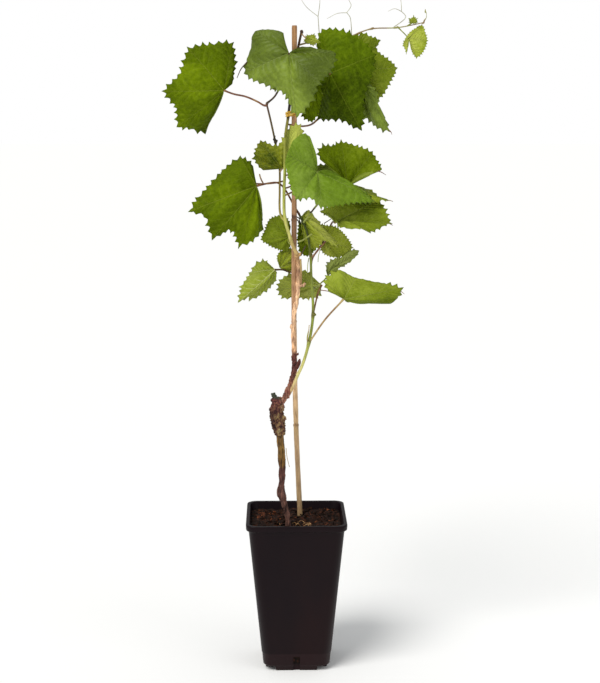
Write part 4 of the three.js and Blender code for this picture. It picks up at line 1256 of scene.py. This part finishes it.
# %% From form to blade
def blade(spec):
    form, chart, face = leaf_form(spec)
    spokes, rings = form.shape[:2]
    nothing_selected()
    bpy.ops.mesh.primitive_grid_add(x_subdivisions=spokes - 1, y_subdivisions=rings - 1, size=2)
    piece = bpy.context.object
    mesh = piece.data
    flat = np.empty(len(mesh.vertices) * 3)
    mesh.vertices.foreach_get("co", flat)
    flat = flat.reshape(-1, 3)
    column = np.rint((flat[:, 0] + 1) / 2 * (spokes - 1)).astype(int)
    row = np.rint((flat[:, 1] + 1) / 2 * (rings - 1)).astype(int)
    mesh.vertices.foreach_set("co", (form[column, row] * MM).ravel())
    while mesh.uv_layers:
        mesh.uv_layers.remove(mesh.uv_layers[0])
    layer = mesh.uv_layers.new(name="Veins")
    corners = np.empty(len(mesh.loops), dtype=int)
    mesh.loops.foreach_get("vertex_index", corners)
    layer.data.foreach_set("uv", chart[column[corners], row[corners]].ravel())
    around, out = chart[column, row].T
    # How much paler or darker each lobe is painted, partly its own tone and partly painted light and
    # painted shade, fading in from the junction.
    lobes = spec["depth"]
    shade = np.interp(around, range(7), [lobes[0], *lobes, lobes[-1]])
    deep = mesh.attributes.new("Depth", "FLOAT", "POINT")
    deep.data.foreach_set("value", (shade * 0.1 * np.clip(out * 3, 0, 1)).astype(np.float32))
    mesh.update()
    open_mesh()
    bpy.ops.mesh.remove_doubles(threshold=0.02 * MM)
    close_mesh()
    if sum(np.dot(p.normal, face) * p.area for p in mesh.polygons) < 0:
        open_mesh()
        bpy.ops.mesh.flip_normals()
        close_mesh()
    thickness = piece.modifiers.new("thickness", "SOLIDIFY")
    thickness.thickness = THICK * MM
    thickness.offset = -1
    thickness.material_offset = 1
    thickness.material_offset_rim = 0
    mesh.materials.append(UPPER[spec["finish"]])
    mesh.materials.append(LOWER[spec["finish"]])
    apply(thickness)
    bpy.ops.object.shade_smooth()
    return finish_piece(piece, spec["name"] + "_blade", spec["slot"], [spec["name"]])


# %% [markdown]
# ## The leaf table
# Name, finish, junction and the rim from it, clockwise seen from the upper face: the heel
# beside the bay, the ends of the five main veins with a notch between each two, and the
# other heel. Old leaves are deep green, those with light behind them are lime, which is
# painted light shining through them, and the young ones at the tips are pale. Some leaves in
# the shade of others are given paler tones, as painted light. Smooth says between which vein
# numbers the margin has hardly any teeth, and depth how much paler or darker each of the five
# lobes is painted: partly the leaf's own tone and partly painted light and painted shade,
# paler where a lobe lies in another leaf's shadow or has light shining through it, darker
# where it is turned away from the light.


# %% Leaves and where they sit
# depth: how much paler or darker each lobe is painted, partly the leaf's own tone and partly painted light
# and painted shade.
def leaf(name, finish, at, rim, smooth=(), depth=(0, 0, 0, 0, 0), slot="leaf"):
    return {"name": "leaf_" + name, "finish": finish, "at": np.array(at, float),
            "rim": np.array(rim, float), "smooth": smooth, "depth": depth, "slot": slot}


LEAVES = [
    leaf("upper_left", "deep", (-83, -8, 690), [
        (-15, 14, -22), (-25, 23, -47), (-40, 14, -45), (-54, 5, -40), (-56, -3, -20), (-68, -10, -1),
        (-51, -5, 19), (-40, 0, 47), (-17, 6, 53), (9, 12, 53), (9, 4, 7)],
        smooth=((0, 0.9),), depth=(-0.8, 0.2, 0.9, 0.2, -1.2)),
    leaf("upper_middle", "waxy", (-8, -18, 732), [
        (15, 2, 7), (53, 5, -1), (48, -6, -20), (34, -18, -35), (27, -17, -52), (9, -14, -71),
        (-4, -8, -48), (-51, 22, -22), (-46, 22, 2), (-38, 18, 25), (-6, 10, 23)],
        smooth=((0, 1), (4.3, 6)), depth=(-1.7, -1.5, 1.8, 0.2, -0.6)),
    leaf("upper_right", "folded", (40, 10, 710), [
        (-16, 4, 31), (-9, 6, 50), (22, 5, 47), (52, 2, 21), (41, -2, -28), (36, -8, -64),
        (11, 4, -54), (-13, 24, -52), (-20, 26, -29), (-33, 24, -10), (-20, 12, 13)],
        depth=(0.7, -0.3, -1.6, -1.2, 0.8)),
    leaf("right_back", "fresh", (72, 40, 715), [
        (-2, 0, 23), (5, 0, 43), (17, 0, 39), (28, 0, 34), (24, 0, 25), (48, 2, 2),
        (41, 1, -14), (31, 0, -31), (19, 1, -39), (8, 1, -42), (-1, 1, -24)]),
    leaf("right_low", "waxy", (77, 30, 698), [
        (11, 1, 0), (19, 2, -10), (21, 2, -20), (22, 3, -28), (25, -2, -37), (34, -10, -55),
        (20, -4, -51), (11, 3, -43), (1, 4, -37), (-6, 4, -30), (-7, 2, -13)],
        depth=(1.6, 2.0, 0.8, 0.8, 1.2)),
    leaf("under_middle", "deep", (20, 8, 700), [
        (7, 2, -3), (11, 4, -15), (9, 3, -25), (7, 2, -35), (4, 1, -41), (-1, 0, -46),
        (-7, 2, -44), (-12, 4, -39), (-12, 5, -30), (-11, 6, -21), (-8, 3, -7)]),
    leaf("tip_large", "lime", (131, 6, 750), [
        (-1, -1, -9), (-3, -2, -18), (-4, -2, -14), (-7, -2, -6), (0, 0, 5), (15, 1, 15),
        (19, -1, 7), (21, -3, -3), (17, -4, -15), (9, -4, -22), (2, -3, -11)], slot="young_leaf"),
    leaf("tip_small", "lime", (134, 3, 767), [
        (-1, 1, -1), (-3, 1, 1), (-3, 0, 3), (-3, 0, 5), (0, 0, 6), (2, -1, 8),
        (4, 0, 6), (6, 0, 5), (6, 0, 3), (7, 1, 1), (2, 1, -1)], slot="young_leaf"),
    leaf("top_bud", "pale", (12, -2, 749), [
        (-2, 1, 1), (1, 2, 4), (5, 1, 4), (9, 0, 5), (12, 0, 0), (16, -1, -4),
        (11, -1, -6), (8, -1, -8), (3, 0, -6), (-1, 0, -5), (-3, 0, -1)], slot="young_leaf"),
    leaf("centre_left", "dark_with_painted_backlight", (-16, 0, 600), [
        (-22, 2, -2), (-33, 3, 12), (-31, 2, 23), (-25, 2, 32), (-6, 0, 27), (10, -3, 49),
        (20, -3, 51), (25, -4, 38), (23, -4, 19), (14, -2, 8), (7, -1, 3)],
        depth=(-1.2, -1.7, 2.0, 2.8, 1.2)),
    leaf("centre_front", "matte", (24, -16, 597), [
        (13, 3, 2), (67, 5, -34), (32, -8, -37), (4, -28, -39), (-10, -36, -28), (-25, -44, -29),
        (-33, -36, -8), (-35, -26, 20), (-27, -18, 36), (-13, -8, 44), (-3, -3, 24)],
        smooth=((0, 0.7), (3.7, 6)), depth=(-0.8, 0.6, 1.0, 0.6, 0.7)),
    leaf("right_fan", "olive", (61, 4, 579), [
        (-14, -3, 14), (-32, -8, 32), (-35, -4, 41), (-29, 0, 48), (-19, 0, 48), (-8, 0, 52),
        (9, 0, 48), (28, 0, 40), (34, -4, 31), (39, -10, 20), (14, -4, 15)],
        smooth=((0, 1), (5, 6)), depth=(0.2, -0.3, 0, -0.5, 0.6)),
    leaf("right_flat", "fresh", (54, 14, 573), [
        (7, 18, 3), (15, 23, 4), (24, 22, 4), (32, 18, 2), (45, 6, -7), (57, -6, -11),
        (46, -11, -11), (35, -14, -12), (23, -15, -8), (13, -16, -3), (6, -10, 0)],
        depth=(0.8, 0.8, 0.8, 0.8, 0.8)),
    leaf("right_lower", "fresh", (46, -2, 537), [
        (-7, 10, 5), (-16, 22, 12), (11, 24, 22), (53, 18, 23), (60, 9, 14), (64, -6, -1),
        (53, -12, -5), (39, -20, -9), (22, -26, -4), (6, -26, -4), (2, -12, -3)],
        depth=(1.2, 0.1, -0.3, -0.4, 0.6)),
    leaf("middle_left", "deep", (-46, -3, 580), [
        (1, 8, -19), (6, 20, -52), (-4, 16, -64), (-20, 10, -71), (-31, 2, -52), (-51, -6, -60),
        (-61, -5, -35), (-77, 0, -29), (-55, 5, 2), (-19, 10, 33), (-4, 5, 23)],
        depth=(0.4, 1.5, -0.6, 0.2, -0.6)),
    leaf("behind_left", "fresh", (-8, 13, 519), [
        (2, 2, -9), (-2, 5, -17), (-11, 4, -16), (-20, 3, -12), (-27, 2, -8), (-33, 2, -3),
        (-29, 2, 8), (-23, 3, 21), (-14, 4, 25), (-6, 5, 26), (2, 2, 12)], depth=(-0.4, -0.2, 0, 0, -0.4)),
    leaf("behind_cane", "olive", (9, 22, 531), [
        (6, 1, 5), (16, 2, -2), (17, 2, -16), (17, 2, -25), (13, 2, -30), (5, 2, -36),
        (-3, 2, -32), (-6, 3, -21), (-7, 2, -13), (-6, 2, 0), (-5, 1, 9)]),
    leaf("folded", "pale", (7, 14, 543), [
        (3, 3, 4), (8, 8, 7), (17, 6, -1), (25, 4, -13), (35, -5, -23), (41, -15, -34),
        (26, -13, -28), (20, -8, -36), (10, -6, -38), (3, -2, -26), (0, -1, -11)],
        smooth=((0.2, 1.6),), depth=(1.4, 2.2, 1.8, -0.8, -1.4), slot="young_leaf"),
    leaf("yellow", "pale", (35, 18, 513), [
        (-6, 8, 12), (-7, 8, 20), (3, 4, 19), (12, -2, 18), (24, 2, 8), (32, -2, -7),
        (26, -1, -15), (14, 0, -19), (3, 1, -17), (-5, 2, -10), (-4, 1, -4)],
        depth=(-0.4, 0.1, 0.5, 0.7, 0.5), slot="young_leaf"),
    leaf("grey", "grey", (38, 8, 473), [
        (-2, 2, 7), (0, 4, 15), (6, 4, 20), (18, 3, 23), (26, 0, 30), (36, -2, 30),
        (30, -8, 21), (22, -8, 15), (15, -9, 12), (11, -10, 7), (6, -5, 2)],
        depth=(2.2, 2.6, 2.4, 1.4, 0.6)),
    leaf("low_right", "fresh", (56, -14, 448), [
        (-17, 2, 8), (-23, 6, 20), (-7, 5, 34), (15, 10, 24), (55, 5, 17), (67, -6, 13),
        (67, -6, 6), (55, -2, -4), (38, 5, 0), (22, 10, 3), (9, 5, 1)],
        smooth=((1.5, 2.6), (3.6, 6)), depth=(1.2, 1.4, -0.6, -1.1, 0.0), slot="young_leaf"),
    leaf("low_behind", "pale", (31, 16, 461), [
        (-9, 4, 5), (-15, 8, 14), (-23, 8, 17), (-39, 8, 13), (-49, 7, 6), (-53, 6, -6),
        (-46, 8, -16), (-34, 9, -16), (-19, 9, -17), (-5, 8, -16), (-1, 4, -9)],
        depth=(0.2, -0.8, -1.0, -0.6, 0.6)),
    leaf("low_left", "ribbed", (-25, 4, 481), [
        (3, 4, -4), (-6, 12, -23), (-17, 11, -30), (-29, 9, -37), (-33, 4, -32), (-43, -4, -38),
        (-40, 2, -22), (-30, 11, -5), (-24, 13, 4), (-15, 14, 10), (-6, 5, 6)]),
    leaf("left_inner", "pale", (-19, 18, 482), [
        (-2, 1, 5), (-3, 2, 14), (-1, 3, 18), (4, 4, 21), (10, 4, 23), (15, 4, 22),
        (17, 3, 14), (16, 2, 5), (16, 2, -1), (13, 2, -5), (6, 1, -4)],
        depth=(-0.6, -0.8, -0.8, -0.8, -0.6)),
    leaf("back_top", "olive", (-18, 34, 722), [
        (-6, 3, 10), (-22, 6, 14), (-23, 4, 2), (-26, 2, -10), (-15, 5, -19), (-6, 8, -32),
        (6, 5, -22), (20, 2, -16), (19, 4, -2), (20, 6, 12), (6, 3, 11)]),
    leaf("back_upper", "deep", (54, 54, 726), [
        (-7, 3, 11), (-26, 8, 8), (-26, 6, -10), (-28, 4, -28), (-13, 7, -39), (0, 12, -56),
        (16, 7, -38), (34, 4, -26), (32, 7, -7), (32, 10, 12), (9, 5, 13)]),
    leaf("back_centre", "deep", (22, 40, 586), [
        (-11, 2, 1), (-14, 4, -8), (0, 3, -14), (14, 2, -22), (30, 5, -7), (52, 8, 6),
        (40, 5, 14), (34, 2, 24), (14, 4, 18), (-4, 6, 14), (-11, 3, 2)]),
    leaf("back_left", "olive", (-58, 30, 582), [
        (-1, 3, 13), (-22, 6, 20), (-33, 4, 6), (-46, 2, -8), (-36, 5, -24), (-32, 8, -44),
        (-15, 5, -40), (0, 2, -42), (6, 4, -28), (12, 6, -16), (7, 3, 2)]),
]
blades = [blade({**given, "seed": 100 + number}) for number, given in enumerate(LEAVES)]
print("blades:", len(blades), "with", sum(triangles(b) for b in blades), "triangles")

# %% [markdown]
# ## Leaf stalks
# A stalk leaves its shoot at a swollen foot, bends once or twice and meets the blade at the
# junction of the veins. Rods again, thicker at both ends. A few bare twigs, side stalks and
# long leaf points are drawn with them, and all of one colour are joined into one piece.


# %% Stalk finishes
def stalk_finish(name, low, mid, high):
    return mottled(name, (0.45, 0.4), (120, 4), [(0.34, low), (0.5, mid), (0.66, high)],
                   (900, 3, 0.00012, 0.6))


STALK_TONES = {
    "red": ((84, 46, 34), (118, 74, 48), (146, 108, 66)),
    "dark": ((44, 30, 14), (64, 46, 24), (88, 72, 34)),
    "green": ((104, 112, 36), (138, 146, 62), (168, 172, 92)),
    "tan": ((130, 96, 60), (160, 128, 78), (186, 164, 104)),
}
SHOOTS = {"leader": LEADER, "second": SECOND, "lateral": LATERAL, "top": TOP_SHOOT}


def seat(shoot, height=None, share=None):
    line = SHOOTS[shoot]
    return at_share(line, share) if height is None else at_height(line, height)


# %% Stalks
STALKS = [
    ("leaf_upper_left", "red", seat("lateral", share=0.985), (-37, -8, 673), (-44, -8, 677),
     (-58, -8, 683), (-72, -8, 686)),
    ("leaf_upper_middle", "dark", seat("lateral", share=1), (-24, -13, 684), (-14, -18, 706)),
    ("leaf_upper_right", "red", seat("leader", 652), (-8, 4, 651), (-1, 9, 650), (9, 14, 649),
     (22, 32, 653), (33, 40, 666), (44, 28, 690)),
    ("leaf_right_back", "tan", seat("top", share=0.5), (62, 36, 737)),
    ("leaf_right_low", "tan", seat("top", share=0.45), (56, 32, 727)),
    ("leaf_under_middle", "green", seat("leader", 690), (8, 14, 700)),
    ("leaf_tip_large", "green", seat("top", share=0.8), (124, 7, 757)),
    ("leaf_tip_small", "green", seat("top", share=0.87)),
    ("leaf_top_bud", "tan", seat("leader", 755), (9, 0, 752)),
    ("leaf_centre_left", "tan", seat("lateral", 596)),
    ("leaf_centre_front", "green", seat("second", 536), (20, 8, 551), (29, -3, 567)),
    ("leaf_right_fan", "red", seat("leader", 577), (-9, 5, 578), (-3, 12, 580), (14, 23, 580),
     (40, 18, 575)),
    ("leaf_right_flat", "tan", seat("leader", 569), (-9, 8, 570), (-3, 16, 572), (16, 27, 572),
     (42, 24, 571)),
    ("leaf_right_lower", "red", seat("second", 488), (21, 13, 496), (29, 22, 506), (36, 27, 518),
     (43, 20, 535)),
    ("leaf_middle_left", "red", seat("second", share=1), (-2, 13, 556), (-14, 12, 577),
     (-21, 9, 583), (-31, 5, 583)),
    ("leaf_behind_left", "green", seat("leader", 508), (-9, 5, 514)),
    ("leaf_behind_cane", "dark", seat("second", share=0.97), (-1, 16, 543)),
    ("leaf_folded", "green", seat("second", 541)),
    ("leaf_yellow", "red", seat("second", 494), (23, 8, 500), (30, 14, 508)),
    ("leaf_grey", "green", seat("second", 458), (25, 5, 461), (32, 5, 467)),
    ("leaf_low_right", "tan", seat("second", 395), (34, -10, 423)),
    ("leaf_low_behind", "red", seat("second", 428), (27, 8, 455)),
    ("leaf_low_left", "dark", seat("leader", 476), (1, 15, 477), (-7, 15, 477), (-15, 12, 480)),
    ("leaf_left_inner", "green", seat("leader", 488), (-2, 17, 491)),
    ("leaf_back_top", "red", seat("leader", 672), (-7, 18, 688), (-9, 30, 706)),
    ("leaf_back_upper", "red", seat("leader", 716), (22, 40, 722)),
    ("leaf_back_centre", "red", seat("leader", 592), (0, 24, 592)),
    ("leaf_back_left", "red", seat("leader", 584), (-15, 8, 585), (-22, 17, 583), (-40, 28, 581)),
]
JUNCTION = {given["name"]: given["at"] for given in LEAVES}
SIZE = {given["name"]: np.linalg.norm(given["rim"][5]) for given in LEAVES}
stalk_groups = {}
for name, colour, *points in STALKS:
    line = resample(spline([*points, JUNCTION[name]]), 14 + 10 * len(points))
    width = 1.2 * float(np.clip(SIZE[name] / 60, 0.6, 1))
    run = lengths(line)
    at_foot, at_blade = np.exp(-(run / 3.5) ** 2), np.exp(-((run[-1] - run) / 3) ** 2)
    radii = width * (0.92 + 0.35 * at_foot + 0.18 * at_blade)
    stalk_groups.setdefault(colour, []).append((name, rod(line, radii, 10)))

# %% Twigs, side stalks and leaf points
# Colour, the leaf it belongs with, the radius at its foot and at its end, and its line.
TWIGS = [
    ("dark", "leaf_upper_middle", 0.8, 0.4, [(-56.5, 3, 722.6), (-63.5, 2, 714.6), (-68.2, 1, 704.3)]),
    ("tan", "leaf_middle_left", 0.9, 0.8, [(-38.6, 4, 583.2), (-41.4, 2, 589.1), (-42.6, 1, 593.8)]),
    ("red", "leaf_right_fan", 0.7, 0.25, [(95.6, -6, 597.5), (100.2, -8, 595.8), (104.8, -9, 592.9)]),
    ("red", "leaf_right_lower", 0.7, 0.25, [(104.2, -8, 537), (108.8, -9, 536.5), (113.4, -10, 534.2)]),
    ("red", "leaf_right_flat", 0.6, 0.25, [(107.5, 8, 562.3), (111, 7, 562.4), (114.5, 7, 561.2)]),
    ("red", "leaf_low_right", 0.7, 0.25, [(118, -20, 459.4), (122.7, -21, 457.8), (126.7, -22, 454.9)]),
    ("red", "leaf_right_low", 0.6, 0.25, [(110, 20, 644.5), (112.3, 19, 642.2), (113.5, 19, 639.2)]),
    ("green", "leaf_folded", 1, 0.9, [(2.3, -7, 514.8), (8.1, -8, 517.2), (18.7, -6, 524.1)]),
    ("red", "leaf_behind_cane", 0.9, 0.7, [(18.8, -4, 496.8), (28.2, -3, 507.3), (35.3, -2, 515.5)]),
    ("dark", "leaf_right_flat", 0.9, 0.8, [(16.6, 4, 548), (20.2, 5, 551.4), (25.5, 8, 557.1)]),
    ("dark", "leaf_yellow", 0.6, 0.45, [(33.2, 6, 535.5), (41.5, 7, 540.7)]),
    ("green", "leaf_behind_cane", 0.45, 0.35, [(26, 0, 490.5), (26.6, 1, 497.5), (28.4, 1, 504.6)]),
    ("green", "leaf_behind_cane", 0.5, 0.4, [(15.1, -3, 495.5), (13.9, -4, 488.5), (13.5, -4, 479.1)]),
    ("red", "leaf_low_right", 0.55, 0.45, [(28.2, -8, 458.2), (41, -12, 456.3), (52.7, -14, 450)]),
    ("tan", "leaf_low_right", 0.9, 0.8, [(55.1, -14, 448.2), (50.4, -13, 442.1), (44.6, -12, 436.1)]),
    ("tan", "leaf_low_right", 0.5, 0.35, [(15.4, -12, 417.1), (14.7, -12, 408.8), (13.1, -12, 398)]),
    ("tan", "leaf_behind_left", 1, 1.2, [(5.4, -6, 494.7), (6.1, -6, 479.3), (5.9, -5, 465)]),
    ("dark", "leaf_behind_cane", 0.8, 0.7, [(5.8, -6, 498.8), (8.2, -6, 504.1), (11.1, -5, 509.9)]),
    ("tan", "leaf_low_left", 0.4, 0.3, [(-12.3, -30, 272.9), (-11.1, -31, 262.2), (-8.2, -30, 249.8)]),
]
for colour, name, foot, end, points in TWIGS:
    twig = limb(points, 16, np.linspace(foot, end, 16), 8)
    stalk_groups[colour].append((name, twig))

# %% One piece for each colour of stalk
for colour, members in stalk_groups.items():
    names = list(dict.fromkeys(name for name, _ in members))
    stalks = join([piece for _, piece in members])
    skin = stalk_finish("stalk_" + colour, *STALK_TONES[colour])
    finish_piece(stalks, "stalks_" + colour, "green_shoot", names, skin)
print("stalks:", {colour: len(members) for colour, members in stalk_groups.items()})

# %% [markdown]
# ## Tendrils
# Tendrils are forked threads that sway and coil at their ends. Each is a short stem and two
# fine rods that taper to nothing.

# %% Tendrils
TENDRILS = [
    ("tendril_left", seat("top", share=0.19), [(26, 15, 775)],
     [(28, 12, 793), (26, 10, 806), (29, 8, 818)], [(12, 10, 786), (6, 7, 796), (9, 4, 805)]),
    ("tendril_middle", seat("top", share=0.44), [(63, 12, 774), (59, 9, 779)],
     [(64, 8, 787), (61, 7, 795), (66, 9, 808), (62, 10, 820)], [(48, 7, 778), (36, 6, 772)]),
    ("tendril_right", seat("top", share=0.76), [(127, 4, 774), (122, 2, 780)],
     [(121, 2, 792), (118, 4, 803), (122, 6, 812)], [(114, 1, 783), (106, 0, 780)]),
]
tendril_finish = stalk_finish("tendril_thread", (150, 146, 120), (176, 174, 148), (198, 198, 172))
for name, foot, stem, *forks in TENDRILS:
    threads = [limb([foot, *stem], 24, np.linspace(0.55, 0.42, 24), 8)]
    threads += [limb([stem[-1], *fork], 34, np.linspace(0.4, 0.2, 34), 8) for fork in forks]
    finish_piece(join(threads), name + "_threads", "tendril", [name], tendril_finish)
print("tendrils:", len(TENDRILS))

# %% [markdown]
# ## Finish
# Nothing is left selected.

# %% The end
nothing_selected()
